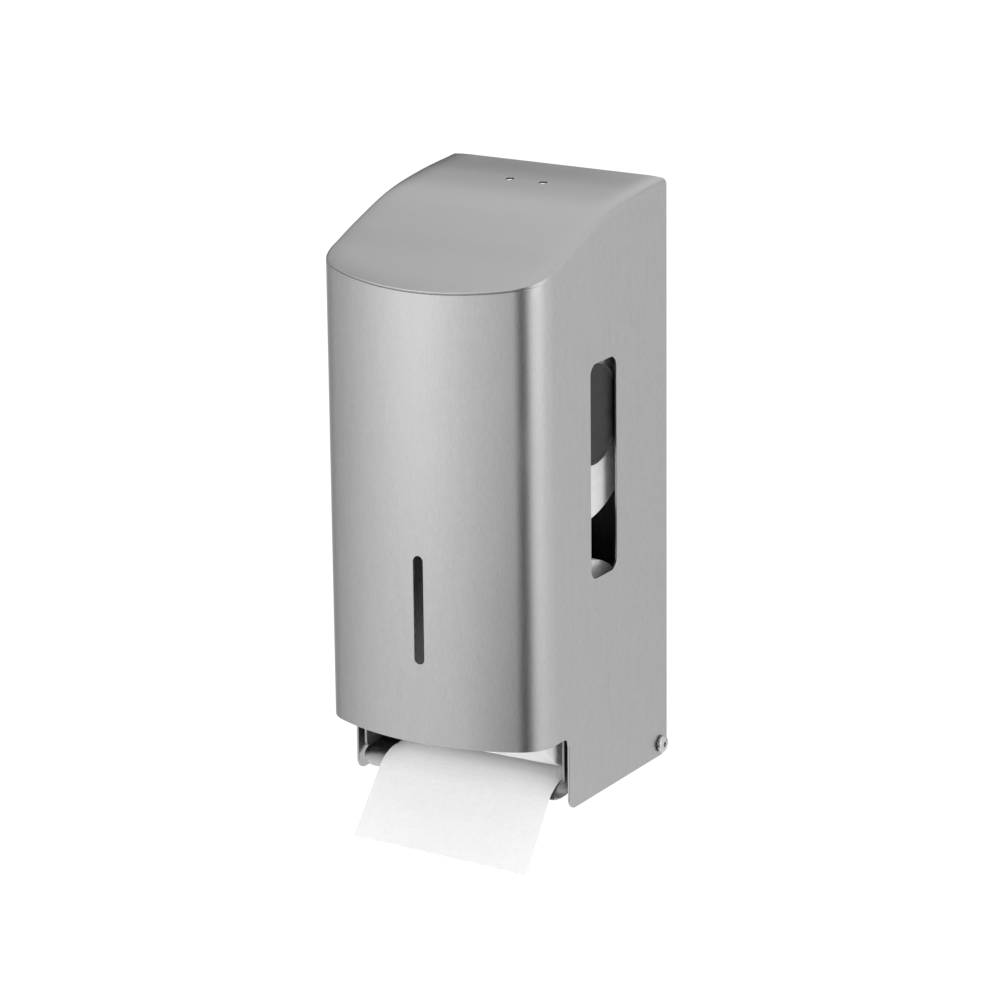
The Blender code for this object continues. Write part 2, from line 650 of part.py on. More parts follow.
def make_hinge(side, word, steel, nylon):
    place = (0, -PIVOT_SETBACK, PIVOT_HEIGHT)
    bush_out = COVER_HALF + SEAT_GAP
    under_head = bush_out + SEAT_GAP
    nut_in = CHEEK_INSIDE - SEAT_GAP - NUT_HEIGHT
    tip = nut_in - PIVOT_TAIL
    dome = [
        (
            under_head + PIVOT_HEAD_RIM + (PIVOT_HEAD_HEIGHT - PIVOT_HEAD_RIM) * sin(angle),
            PIVOT_HEAD_FLAT + (PIVOT_HEAD - PIVOT_HEAD_FLAT) * cos(angle),
        )
        for angle in (0, pi / 6, pi / 3, pi / 2)
    ]
    profile = [
        (tip, 0), (tip, PIVOT_SHANK - PIN_CHAMFER), (tip + PIN_CHAMFER, PIVOT_SHANK),
        (under_head, PIVOT_SHANK), (under_head, PIVOT_HEAD),
    ] + dome + [(under_head + PIVOT_HEAD_HEIGHT, 0)]
    outline = [(side * x, r) for x, r in profile]
    screw = turned(f"pivot_screw_{word}", outline, place, "X", HINGE_SEGMENTS, steel)
    corners = [(SOCKET_RADIUS * cos(pi * k / 3), SOCKET_RADIUS * sin(pi * k / 3)) for k in range(6)]
    socket = [(y - PIVOT_SETBACK, z + PIVOT_HEIGHT) for y, z in corners]
    top = under_head + PIVOT_HEAD_HEIGHT
    cut(screw, [(socket, "X", side * (top - SOCKET_DEPTH), side * (top + CUT_OVERRUN))])

    flange_in = CHEEK_OUTSIDE + SEAT_GAP
    flange_out = COVER_INSIDE - SEAT_GAP
    bore = PIVOT_SHANK + SEAT_GAP
    outline = [
        (flange_in, bore), (bush_out, bore), (bush_out, BUSH_SLEEVE),
        (flange_out, BUSH_SLEEVE), (flange_out, BUSH_FLANGE), (flange_in, BUSH_FLANGE),
    ]
    outline = [(side * x, r) for x, r in outline]
    bush = turned(f"pivot_bush_{word}", outline, place, "X", HINGE_SEGMENTS, nylon)

    hexagon = [
        (NUT_RADIUS * sin(pi * k / 3) - PIVOT_SETBACK, NUT_RADIUS * cos(pi * k / 3) + PIVOT_HEIGHT)
        for k in range(6)
    ]
    nut = prisms(f"pivot_nut_{word}", [(hexagon, "X", side * nut_in, side * (nut_in + NUT_HEIGHT))], steel)
    hole = circle((-PIVOT_SETBACK, PIVOT_HEIGHT), bore)
    cut(nut, [(hole, "X", side * (nut_in - CUT_OVERRUN), side * (nut_in + NUT_HEIGHT + CUT_OVERRUN))])
    return [screw, bush, nut]


def make_stop(side, word, steel):
    tip = sqrt(STOP_LENGTH ** 2 - STOP_HALF_WIDTH ** 2)
    corners = [
        (tip, -STOP_HALF_WIDTH, STOP_TIP_CORNER), (tip, STOP_HALF_WIDTH, STOP_TIP_CORNER),
        (0, STOP_HUB, STOP_HUB), (-STOP_TAIL, STOP_TAIL_HALF_WIDTH, STOP_TAIL_CORNER),
        (-STOP_TAIL, -STOP_TAIL_HALF_WIDTH, STOP_TAIL_CORNER), (0, -STOP_HUB, STOP_HUB),
    ]
    outline = rounded([(*along_stop(ahead, aside), radius) for ahead, aside, radius in corners])
    inner = CHEEK_OUTSIDE + SEAT_GAP
    stop = prisms(f"reserve_stop_{word}", [(outline, "X", side * inner, side * STOP_OUTSIDE)], steel)
    hole = circle(stop_pivot(), STOP_PIN_SHANK + SEAT_GAP)
    cut(stop, [(hole, "X", side * (inner - CUT_OVERRUN), side * (STOP_OUTSIDE + CUT_OVERRUN))])
    return stop


def make_stop_pin(side, word, steel):
    inner = CHEEK_INSIDE - SEAT_GAP
    outer = STOP_OUTSIDE + SEAT_GAP
    end = inner - STOP_PIN_INNER_HEAD
    face = outer + STOP_PIN_OUTER_HEAD
    profile = [
        (end, 0), (end, STOP_PIN_HEAD - PIN_CHAMFER), (end + PIN_CHAMFER, STOP_PIN_HEAD),
        (inner, STOP_PIN_HEAD), (inner, STOP_PIN_SHANK), (outer, STOP_PIN_SHANK),
        (outer, STOP_PIN_HEAD), (face, STOP_PIN_HEAD - PIN_CHAMFER), (face, 0),
    ]
    outline = [(side * x, r) for x, r in profile]
    return turned(f"stop_pin_{word}", outline, (0, *stop_pivot()), "X", RIVET_SEGMENTS, steel)


def disc_profile():
    # From the disc's outer face inwards along the spindle's tube
    face = STOP_OUTSIDE - DISC_RIM
    rim = DISC_RADIUS - DISC_RIM_WIDTH
    inner = CHEEK_INSIDE - DISC_INSET
    return [
        (face, 0), (face, rim - DISC_RIM), (STOP_OUTSIDE, rim), (STOP_OUTSIDE, DISC_RADIUS - DISC_RIM / 2),
        (STOP_OUTSIDE - DISC_RIM / 2, DISC_RADIUS), (inner, DISC_RADIUS), (inner, SPINDLE_RADIUS),
        (SEAT_GAP / 2, SPINDLE_RADIUS),
    ]


def make_spindle(word, height, plastic):
    web = STOP_OUTSIDE - DISC_RIM - DISC_WEB
    bore = SPINDLE_RADIUS - SPINDLE_WALL
    socket = disc_profile() + [(SEAT_GAP / 2, bore), (web, bore), (web, 0)]
    plug_outer = bore - SEAT_GAP
    plug_inner = plug_outer - PLUG_WALL
    plug = disc_profile() + [
        (SEAT_GAP / 2, plug_outer), (SEAT_GAP - PLUG_LENGTH, plug_outer), (-PLUG_LENGTH, plug_outer - SEAT_GAP),
        (-PLUG_LENGTH, plug_inner), (web, plug_inner), (web, 0),
    ]
    place = (0, -ROLL_DEPTH, height)
    return [
        turned(f"{word}_spindle_socket", [(-x, r) for x, r in socket], place, "X", SPINDLE_SEGMENTS, plastic),
        turned(f"{word}_spindle_plug", plug, place, "X", SPINDLE_SEGMENTS, plastic),
    ]


def make_roll(word, height, radius, high, paper, card):
    low = high - ROLL_WIDTH
    place = (0, -ROLL_DEPTH, height)
    bore = CORE_RADIUS + SEAT_GAP
    wound = [
        (low, bore), (high, bore), (high, radius - ROLL_EDGE), (high - ROLL_EDGE, radius),
        (low + ROLL_EDGE, radius), (low, radius - ROLL_EDGE),
    ]
    inside = CORE_RADIUS - CORE_WALL
    tube = [(low, inside), (high, inside), (high, CORE_RADIUS), (low, CORE_RADIUS)]
    return [
        turned(f"{word}_paper_roll", wound, place, "X", ROLL_SEGMENTS, paper),
        turned(f"{word}_card_core", tube, place, "X", SPINDLE_SEGMENTS, card),
    ]


def make_tail(paper):
    # Off the underside of the roll in use, over the lip and down
    offset = SEAT_GAP + TAIL_THICKNESS / 2
    start = (-ROLL_DEPTH, LOWER_AXIS - LOWER_ROLL_RADIUS - offset)
    # The paper bends more widely than the lip under it
    bend = LIP_RADIUS + TAIL_SPRING
    centre = (-LIP_START, SHELF_HEIGHT - bend)
    radius = bend + offset
    away = (start[0] - centre[0], start[1] - centre[1])
    touch = atan2(away[1], away[0]) + acos(radius / hypot(*away))
    leave = pi / 2 + TAIL_TURN
    middle = (touch + leave) / 2
    reach = radius / cos((leave - touch) / 2)
    corner = (centre[0] + reach * cos(middle), centre[1] + reach * sin(middle))
    off = (centre[0] + radius * cos(leave), centre[1] + radius * sin(leave))
    end = (off[0] - TAIL_LENGTH * cos(TAIL_TURN), off[1] - TAIL_LENGTH * sin(TAIL_TURN))
    line = rounded([(*start, 0), (*corner, radius), (*end, 0)], closed=False)
    outline = strip(line, TAIL_THICKNESS)
    return prisms("paper_tail", [(outline, "X", LOWER_ROLL_END - ROLL_WIDTH, LOWER_ROLL_END)], paper)


def make_latch(spring_steel, steel):
    half = LEAF_WIDTH / 2
    bend = LATCH_SHELF_REACH
    right = [
        (half, -LEAF_REAR, LEAF_NOTCH / 2), (half, LEAF_NOTCH / 2 - bend, 0), (half - LEAF_NOTCH, -bend, 0),
        (half, -bend - LEAF_NOTCH / 2, 0), (half, -LEAF_REACH, LEAF_NOTCH),
    ]
    outline = rounded(right + [(-x, y, r) for x, y, r in right[::-1]])
    low = LATCH_SHELF_HEIGHT + SEAT_GAP
    leaf = prisms("latch_leaf", [(outline, "Z", low, low + LEAF_THICKNESS)], spring_steel)
    cut(leaf, [
        (circle((side * LATCH_RIVET_X, -LATCH_RIVET_DEPTH), SHANK_HOLE), "Z", low - CUT_OVERRUN, low + CUT_OVERRUN)
        for side in (-1, 1)
    ])
    base = low + LEAF_THICKNESS + SEAT_GAP
    wedge = [
        (-HOOK_DEPTH, base), (-HOOK_DEPTH, base + HOOK_HEIGHT),
        (-HOOK_DEPTH - HOOK_CREST, base + HOOK_HEIGHT),
        (-LEAF_REACH + HOOK_TOE, base + HOOK_TOE), (-LEAF_REACH + HOOK_TOE, base),
    ]
    hook = prisms("latch_hook", [(wedge, "X", -HOOK_WIDTH / 2, HOOK_WIDTH / 2)], steel)
    return [leaf, hook]


def build():
    clear_scene()
    brushed = finish("brushed_steel", (0.42, 0.42, 0.41), 0.34, 1.0)
    chassis = finish("chassis_steel", (0.36, 0.36, 0.36), 0.42, 1.0)
    bright = finish("bright_steel", (0.52, 0.52, 0.52), 0.25, 1.0)
    spring_steel = finish("spring_steel", (0.3, 0.3, 0.31), 0.3, 1.0)
    plastic = finish("grey_plastic", (0.07, 0.07, 0.072), 0.55, 0.0)
    nylon = finish("nylon", (0.55, 0.54, 0.5), 0.45, 0.0)
    paper = finish("tissue", (0.86, 0.86, 0.85), 0.95, 0.0)
    card = finish("cardboard", (0.45, 0.36, 0.26), 0.9, 0.0)

    datum = empty("wall_datum", (0, 0, -MOUNT_HEIGHT))
    hinge_axis = empty("cover_hinge_axis", (0, -PIVOT_SETBACK, PIVOT_HEIGHT), datum)
    latch_axis = empty("latch_axis", (0, -LATCH_SHELF_REACH, LATCH_SHELF_HEIGHT + SEAT_GAP), datum)

    fixed = [make_back_plate(chassis), make_shelf(chassis), make_tail(paper)] + make_rivets(bright)
    for side, word in ((-1, "left"), (1, "right")):
        fixed.append(make_cheek(f"cheek_{word}", side, chassis))
        fixed += make_hinge(side, word, bright, nylon)
        fixed.append(make_stop_pin(side, word, bright))
        stop_axis = empty(f"stop_axis_{word}", (0, *stop_pivot()), datum)
        seat([make_stop(side, word, bright)], stop_axis)
    seat(fixed, empty("chassis_frame", (0, 0, 0), datum))
    seat(make_cover(brushed), hinge_axis)
    seat(make_latch(spring_steel, bright), latch_axis)
    rolls = (
        ("upper", UPPER_AXIS, UPPER_ROLL_RADIUS, UPPER_ROLL_END),
        ("lower", LOWER_AXIS, LOWER_ROLL_RADIUS, LOWER_ROLL_END),
    )
    for word, height, radius, end in rolls:
        axis = empty(f"{word}_roll_axis", (0, -ROLL_DEPTH, height), datum)
        seat(make_spindle(word, height, plastic) + make_roll(word, height, radius, end, paper, card), axis)


build()
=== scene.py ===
# Wall dispenser for two rolls of toilet paper, dressed for rendering
# Everything is in metres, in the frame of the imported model; the cover's lower edge is at z = -0.155

import bpy
import random
from math import acos, asin, atan, atan2, ceil, cos, hypot, pi, radians, sin, sqrt, tan

import numpy as np
from mathutils import Matrix, Vector
from mathutils.geometry import delaunay_2d_cdt


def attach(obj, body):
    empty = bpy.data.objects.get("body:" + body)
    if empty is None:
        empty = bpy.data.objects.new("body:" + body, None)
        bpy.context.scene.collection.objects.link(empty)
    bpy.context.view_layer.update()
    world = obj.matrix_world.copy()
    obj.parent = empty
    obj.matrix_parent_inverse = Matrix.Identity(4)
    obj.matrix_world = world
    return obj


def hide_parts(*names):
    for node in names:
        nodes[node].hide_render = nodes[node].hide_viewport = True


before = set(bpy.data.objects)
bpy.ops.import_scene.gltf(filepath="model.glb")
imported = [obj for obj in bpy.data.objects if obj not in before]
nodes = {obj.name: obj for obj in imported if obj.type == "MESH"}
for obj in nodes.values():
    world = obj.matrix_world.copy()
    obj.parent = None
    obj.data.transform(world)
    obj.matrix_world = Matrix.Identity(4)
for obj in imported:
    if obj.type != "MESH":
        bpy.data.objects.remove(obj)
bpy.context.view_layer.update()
scene = bpy.context.scene
print("frame loaded:", len(nodes), "nodes")

wallZero = -0.155  # heights below count from the cover's lower edge


# Camera, where the photographer stood

cameraSettings = {
    "place": (1.16113, -1.99794, 0.66311),
    "azimuth": radians(30.95),
    "elevation": radians(16.6),
    "roll": radians(-0.641),
    "lens": 165.06,
}


def makeCamera(look):
    az, el, roll = look["azimuth"], look["elevation"], look["roll"]
    right = Vector((cos(az), sin(az), 0))
    up = Vector((-sin(az) * sin(el), cos(az) * sin(el), cos(el)))
    back = right.cross(up)
    sideways = right * cos(roll) + up * sin(roll)
    upright = up * cos(roll) - right * sin(roll)
    data = bpy.data.cameras.new("studioCamera")
    data.lens, data.sensor_width, data.sensor_fit = look["lens"], 36, "HORIZONTAL"
    data.clip_start, data.clip_end = 0.05, 50
    camera = bpy.data.objects.new("studioCamera", data)
    turn = Matrix((sideways, upright, back)).transposed().to_4x4()
    camera.matrix_world = Matrix.Translation(look["place"]) @ turn
    scene.collection.objects.link(camera)
    scene.camera = camera


makeCamera(cameraSettings)


# Node helpers

class NodeBench:
    def __init__(self, tree):
        self.tree = tree
        self.column = 0

    def add(self, kind, inputs=None, **settings):
        node = self.tree.nodes.new(kind)
        node.location = (self.column * 190, -40 * (self.column % 5))
        self.column += 1
        for name, value in settings.items():
            setattr(node, name, value)
        self.fill(node, inputs or {})
        return node

    def feed(self, source, target):
        self.tree.links.new(source, target)

    def fill(self, node, inputs):
        # Each input takes a plain value or the socket of another node
        for name, value in inputs.items():
            if isinstance(value, bpy.types.NodeSocket):
                self.feed(value, node.inputs[name])
            else:
                node.inputs[name].default_value = value

    def maths(self, operation, first, second=0.0, clamp=False):
        inputs = {0: first, 1: second}
        return self.add("ShaderNodeMath", inputs, operation=operation, use_clamp=clamp).outputs[0]

    def times(self, first, second, clamp=False):
        return self.maths("MULTIPLY", first, second, clamp)

    def blend(self, first, second, share):
        return self.maths("ADD", self.times(first, share), self.times(second, 1 - share))

    def noise(self, vector, scale, detail=3.0, roughness=0.55, distortion=0.0):
        inputs = {"Vector": vector, "Scale": scale, "Detail": detail, "Roughness": roughness}
        return self.add("ShaderNodeTexNoise", {**inputs, "Distortion": distortion}).outputs["Fac"]

    def remap(self, value, low, high, newLow=0.0, newHigh=1.0, kind="LINEAR"):
        inputs = {"Value": value, "From Min": low, "From Max": high, "To Min": newLow, "To Max": newHigh}
        return self.add("ShaderNodeMapRange", inputs, interpolation_type=kind).outputs[0]

    def mixed(self, share, first, second):
        inputs = {"Factor": share, "A": first, "B": second}
        return self.add("ShaderNodeMix", inputs, data_type="RGBA").outputs["Result"]


def newGroup(name, setting, kind, value, outputs):
    # A group that takes the place on the surface and one setting, and puts out values
    tree = bpy.data.node_groups.new(name, "ShaderNodeTree")
    tree.interface.new_socket("Vector", in_out="INPUT", socket_type="NodeSocketVector")
    socket = tree.interface.new_socket(setting, in_out="INPUT", socket_type="NodeSocket" + kind)
    socket.default_value = value
    for label in outputs:
        tree.interface.new_socket(label, in_out="OUTPUT", socket_type="NodeSocketFloat")
    bench = NodeBench(tree)
    given, out = bench.add("NodeGroupInput").outputs, bench.add("NodeGroupOutput").inputs
    return bench, given["Vector"], given[setting], out


# Shared effects, each one group

def makeBrushedGrain():
    bench, where, stretch, out = newGroup(
        "brushedGrain", "Stretch", "Vector", (1400, 1400, 12), ("Tone", "Height")
    )
    inputs = {"Vector": where, "Scale": stretch}
    lines = bench.add("ShaderNodeMapping", inputs, vector_type="POINT").outputs[0]
    fine = bench.noise(lines, scale=1.0, detail=4, roughness=0.65)
    broad = bench.noise(lines, scale=0.13, detail=2)
    bench.feed(bench.remap(bench.blend(fine, broad, 0.82), 0.3, 0.7), out["Tone"])
    bench.feed(fine, out["Height"])
    return bench.tree


def makeHandMarks():
    bench, where, amount, out = newGroup("handMarks", "Amount", "Float", 0.5, ("Mask",))
    cloud = bench.remap(bench.noise(where, scale=16, detail=4, distortion=0.6), 0.5, 0.72)
    wipe = bench.remap(bench.noise(where, scale=5, detail=2), 0.4, 0.7)
    bench.feed(bench.times(bench.times(cloud, wipe), amount), out["Mask"])
    return bench.tree


# Mask on sharp edges: worn edges, and on the grey spindle discs also a painted highlight along the rim
def makeEdgeWearAndHighlight():
    bench, where, amount, out = newGroup("edgeWearAndHighlight", "Amount", "Float", 0.5, ("Mask",))
    soft = bench.add("ShaderNodeBevel", {"Radius": 0.0007}, samples=4).outputs["Normal"]
    true = bench.add("ShaderNodeNewGeometry").outputs["Normal"]
    dot = bench.add("ShaderNodeVectorMath", {0: soft, 1: true}, operation="DOT_PRODUCT").outputs["Value"]
    edge = bench.remap(dot, 0.995, 0.86)  # full where the two normals part by 30 degrees
    patchy = bench.remap(bench.noise(where, scale=240, detail=3), 0.36, 0.6)
    bench.feed(bench.times(bench.times(edge, patchy), amount, clamp=True), out["Mask"])
    return bench.tree


def makePaperFibre():
    bench, where, pitch, out = newGroup("paperFibre", "Pitch", "Float", 420.0, ("Tone", "Height"))
    cells = bench.add("ShaderNodeTexVoronoi", {"Vector": where, "Scale": pitch}, feature="F1")
    pressed = bench.remap(cells.outputs["Distance"], 0.05, 0.55)
    fuzz = bench.noise(where, scale=1900, detail=4, roughness=0.7)
    height = bench.blend(pressed, fuzz, 0.7)
    bench.feed(height, out["Height"])
    cloud = bench.noise(where, scale=230, detail=4, roughness=0.6, distortion=0.4)
    bench.feed(bench.remap(bench.blend(height, cloud, 0.4), 0.25, 0.7), out["Tone"])
    return bench.tree


def makeMouldedSkin():
    bench, where, scale, out = newGroup("mouldedSkin", "Scale", "Float", 900.0, ("Tone", "Height", "Scuff"))
    spark = bench.noise(where, scale, detail=3, roughness=0.6)
    cloud = bench.noise(where, scale=130, detail=4, roughness=0.6)
    bench.feed(spark, out["Height"])
    bench.feed(bench.remap(bench.blend(spark, cloud, 0.45), 0.36, 0.64), out["Tone"])
    drift = bench.noise(where, scale=70, detail=1, distortion=0.8)
    hair = bench.remap(bench.maths("ABSOLUTE", bench.maths("SUBTRACT", drift, 0.5)), 0.011, 0.004)
    patchy = bench.remap(bench.noise(where, scale=210, detail=2), 0.5, 0.6)
    bench.feed(bench.times(hair, patchy), out["Scuff"])
    return bench.tree


brushedGrain = makeBrushedGrain()
handMarks = makeHandMarks()
edgeWearAndHighlight = makeEdgeWearAndHighlight()
paperFibre = makePaperFibre()
mouldedSkin = makeMouldedSkin()
print("shared effects made")


# Materials

def newMaterial(name):
    material = bpy.data.materials.new(name)
    material.use_nodes = True
    bench = NodeBench(material.node_tree)
    shader = material.node_tree.nodes["Principled BSDF"]
    where = bench.add("ShaderNodeTexCoord").outputs["Object"]
    return material, bench, shader, where


def place(bench, tree, where, **values):
    return bench.add("ShaderNodeGroup", {"Vector": where, **values}, node_tree=tree).outputs


def roughen(bench, shader, height, strength, distance):
    bump = bench.add("ShaderNodeBump", {"Strength": strength, "Distance": distance, "Height": height})
    bench.feed(bump.outputs["Normal"], shader.inputs["Normal"])


def opaque(colour):
    # A grey level, or red, green and blue
    return (*colour, 1) if isinstance(colour, tuple) else (colour, colour, colour, 1)


finish = {
    "rubbedSteel": 0.6,  # bright metal on worn edges
    "steelSpread": (-0.03, 0.04), "plasticSpread": (-0.06, 0.08),  # roughness about its middle
    "markRoughness": 0.1, "paperShine": 0.2, "paperSheen": 0.15, "sheenRoughness": 0.6,
    "steelRelief": 0.0002, "plasticRelief": 0.0003, "paperRelief": 0.0004,
}


def spreadRough(bench, tone, middle, spread):
    return bench.remap(tone, 0, 1, middle + spread[0], middle + spread[1])


def makeSteel(name, look):
    material, bench, shader, where = newMaterial(name)
    grain = place(bench, brushedGrain, where, Stretch=look["stretch"])
    marks = place(bench, handMarks, where, Amount=look["marks"])
    colour = bench.mixed(grain["Tone"], opaque(look["dark"]), opaque(look["pale"]))
    rough = spreadRough(bench, grain["Tone"], look["rough"], finish["steelSpread"])
    rough = bench.maths("ADD", rough, bench.times(marks["Mask"], finish["markRoughness"]))
    if look.get("wear"):
        wornAndHighlitEdge = place(bench, edgeWearAndHighlight, where, Amount=look["wear"])
        colour = bench.mixed(wornAndHighlitEdge["Mask"], colour, opaque(finish["rubbedSteel"]))
    bench.fill(shader, {
        "Base Color": colour, "Roughness": rough, "Metallic": 1, "Anisotropic": look.get("spread", 0),
    })
    roughen(bench, shader, grain["Height"], look["bump"], finish["steelRelief"])
    return material


brushedWall = makeSteel("brushedWall", {
    "stretch": (1900, 1900, 310), "dark": 0.4, "pale": 0.485, "rough": 0.3, "marks": 0.4, "bump": 0.08,
    "spread": 0.5,
})
brushedTop = makeSteel("brushedTop", {
    "stretch": (2300, 400, 2300), "dark": 0.423, "pale": 0.462, "rough": 0.3, "marks": 0.4, "bump": 0.08,
})
chassisSteel = makeSteel("chassisSteel", {
    "stretch": (900, 900, 60), "dark": 0.22, "pale": 0.33,
    "rough": 0.38, "marks": 0.8, "bump": 0.1, "wear": 0.7,
})
shelfSteel = makeSteel("shelfSteel", {
    "stretch": (30, 700, 700), "dark": 0.32, "pale": 0.48,
    "rough": 0.3, "marks": 0.8, "bump": 0.1, "wear": 0.7,
})
brightSteel = makeSteel("brightSteel", {
    "stretch": (600, 600, 600), "dark": 0.46, "pale": 0.6,
    "rough": 0.24, "marks": 0.4, "bump": 0.06, "wear": 0.6,
})
# Painted shade: the latch leaf is made nearly black so that the key holes above it look dark
springSteelPaintedShade = makeSteel("springSteelPaintedShade", {
    "stretch": (900, 20, 900), "dark": (0.07, 0.07, 0.075), "pale": (0.14, 0.14, 0.15),
    "rough": 0.45, "marks": 0.6, "bump": 0.08, "wear": 0.5,
})


def makePlastic(name, look):
    material, bench, shader, where = newMaterial(name)
    skin = place(bench, mouldedSkin, where, Scale=look["scale"])
    wornAndHighlitEdge = place(bench, edgeWearAndHighlight, where, Amount=look["wear"])
    colour = bench.mixed(skin["Tone"], opaque(look["dark"]), opaque(look["pale"]))
    # Edges and scuffs take the rub colour: real wear, and on the grey spindle discs also a painted highlight
    # on the rim
    scuffAndRimHighlight = bench.maths("MAXIMUM", wornAndHighlitEdge["Mask"], bench.times(skin["Scuff"], look["scuff"]))
    colour = bench.mixed(scuffAndRimHighlight, colour, opaque(look["rubAndRimHighlight"]))
    rough = spreadRough(bench, skin["Tone"], look["rough"], finish["plasticSpread"])
    bench.fill(shader, {"Base Color": colour, "Specular IOR Level": look["shine"], "Roughness": rough})
    roughen(bench, shader, skin["Height"], look["bump"], finish["plasticRelief"])
    return material


# The grey plastic's lighter rub colour on its edges is partly wear and partly a painted highlight on the
# discs' rims
greyPlastic = makePlastic("greyPlastic", {
    "scale": 1300.0, "dark": 0.012, "pale": 0.03, "rubAndRimHighlight": 0.1,
    "rough": 0.5, "bump": 0.25, "wear": 0.6, "scuff": 0.25, "shine": 0.3,
})
nylonWhite = makePlastic("nylonWhite", {
    "scale": 700.0, "dark": (0.5, 0.49, 0.45), "pale": (0.6, 0.59, 0.55), "rubAndRimHighlight": (0.7, 0.7, 0.66),
    "rough": 0.42, "bump": 0.1, "wear": 0.3, "scuff": 0.2, "shine": 0.5,
})


def makePaper(name, look):
    material, bench, shader, where = newMaterial(name)
    fibre = place(bench, paperFibre, where, Pitch=look["pitch"])
    bench.fill(shader, {
        "Base Color": bench.mixed(fibre["Tone"], opaque(look["hollow"]), opaque(look["face"])),
        "Roughness": look["rough"], "Specular IOR Level": finish["paperShine"],
        "Sheen Weight": finish["paperSheen"], "Sheen Roughness": finish["sheenRoughness"],
    })
    roughen(bench, shader, fibre["Height"], look["bump"], finish["paperRelief"])
    return material


tissuePaper = makePaper("tissuePaper", {
    "pitch": 420.0, "hollow": 0.82, "face": 0.9, "rough": 0.95, "bump": 0.25,
})
tissueSheet = makePaper("tissueSheet", {
    "pitch": 620.0, "hollow": 0.85, "face": 0.9, "rough": 0.95, "bump": 0.12,
})
cardboard = makePaper("cardboard", {
    "pitch": 260.0, "hollow": (0.36, 0.28, 0.2), "face": (0.5, 0.41, 0.3), "rough": 0.9, "bump": 0.2,
})
print("materials made")


# Geometry helpers

def clamped(value):
    return min(max(value, 0), 1)


def signedVolume(points, faces):
    spots = np.array(points, float)
    fans = np.array([(face[0], b, c) for face in faces for b, c in zip(face[1:-1], face[2:])])
    first, second, third = (spots[fans[:, column]] for column in range(3))
    return float((first * np.cross(second, third)).sum()) / 6


def meshPiece(name, points, faces, materials, body, slots=None):
    if signedVolume(points, faces) < 0:
        faces = [face[::-1] for face in faces]
    data = bpy.data.meshes.new(name)
    data.from_pydata([tuple(map(float, point)) for point in points], [], faces)
    for material in materials:
        data.materials.append(material)
    if slots is not None:
        data.polygons.foreach_set("material_index", slots)
    data.validate()
    item = bpy.data.objects.new(name, data)
    scene.collection.objects.link(item)
    data.shade_smooth()
    data.set_sharp_from_angle(angle=radians(30))  # only corners sharper than this stay hard
    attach(item, body)
    return item


def arcPoints(centre, radius, start, end, step):
    count = max(2, ceil(abs(end - start) * radius / step))
    turns = [start + (end - start) * index / count for index in range(count + 1)]
    return [(centre[0] + radius * cos(turn), centre[1] + radius * sin(turn)) for turn in turns]


def holePair(x, y, radius, step):
    # Two round holes, left and right, both clockwise
    return [arcPoints((side * x, y), radius, 0, -2 * pi, step)[:-1] for side in (-1, 1)]


def roundedLoop(corners, step=0.0012, closed=True):
    # Corners are (a, b, radius); the rounds are sampled finely and the straights stay single
    line = []
    count = len(corners)
    for index, (a, b, radius) in enumerate(corners):
        atEnd = not closed and index in (0, count - 1)
        if radius <= 0 or atEnd:
            line.append((a, b))
            continue
        corner = Vector((a, b))
        back = (Vector(corners[index - 1][:2]) - corner).normalized()
        ahead = (Vector(corners[(index + 1) % count][:2]) - corner).normalized()
        half = back.angle(ahead) / 2
        centre = corner + (back + ahead).normalized() * (radius / sin(half))
        first = corner + back * (radius / tan(half)) - centre
        last = corner + ahead * (radius / tan(half)) - centre
        start = atan2(first.y, first.x)
        turn = atan2(first.x * last.y - first.y * last.x, first.dot(last))
        line += arcPoints(centre, radius, start, start + turn, step)
    return line


def subdivided(line, step, closed=True):
    fine = []
    count = len(line)
    for index in range(count if closed else count - 1):
        first, last = line[index], line[(index + 1) % count]
        pieces = max(1, ceil(hypot(last[0] - first[0], last[1] - first[1]) / step))
        for part in range(pieces):
            share = part / pieces
            fine.append((first[0] + (last[0] - first[0]) * share, first[1] + (last[1] - first[1]) * share))
    if not closed:
        fine.append(line[-1])
    return fine


def outward(line, closed=True):
    # Right-hand normals: they point away from the sheet where the outline runs anticlockwise
    # and the holes run clockwise
    longest = 1.6  # at a sharp corner
    pts = np.array(line, float)
    ahead = np.roll(pts, -1, axis=0) - pts
    if not closed:
        ahead[-1] = ahead[-2]
    ahead /= np.linalg.norm(ahead, axis=1)[:, None]
    back = np.roll(ahead, 1, axis=0)
    if not closed:
        back[0] = ahead[0]
    sides = np.stack([ahead[:, 1], -ahead[:, 0]], 1) + np.stack([back[:, 1], -back[:, 0]], 1)
    length = np.linalg.norm(sides, axis=1)
    return sides / length[:, None] * np.minimum(2 / length, longest)[:, None]


def insideLoops(points, loops):
    # Even-odd test against all loops together
    pts = np.array(points, float)
    inside = np.zeros(len(pts), bool)
    for loop in loops:
        line = np.array(loop, float)
        nextLine = np.roll(line, -1, axis=0)
        for (ax, ay), (bx, by) in zip(line, nextLine):
            crosses = (ay > pts[:, 1]) != (by > pts[:, 1])
            if crosses.any():
                at = (bx - ax) * (pts[:, 1] - ay) / (by - ay if by != ay else 1e-12) + ax
                inside ^= crosses & (pts[:, 0] < at)
    return inside


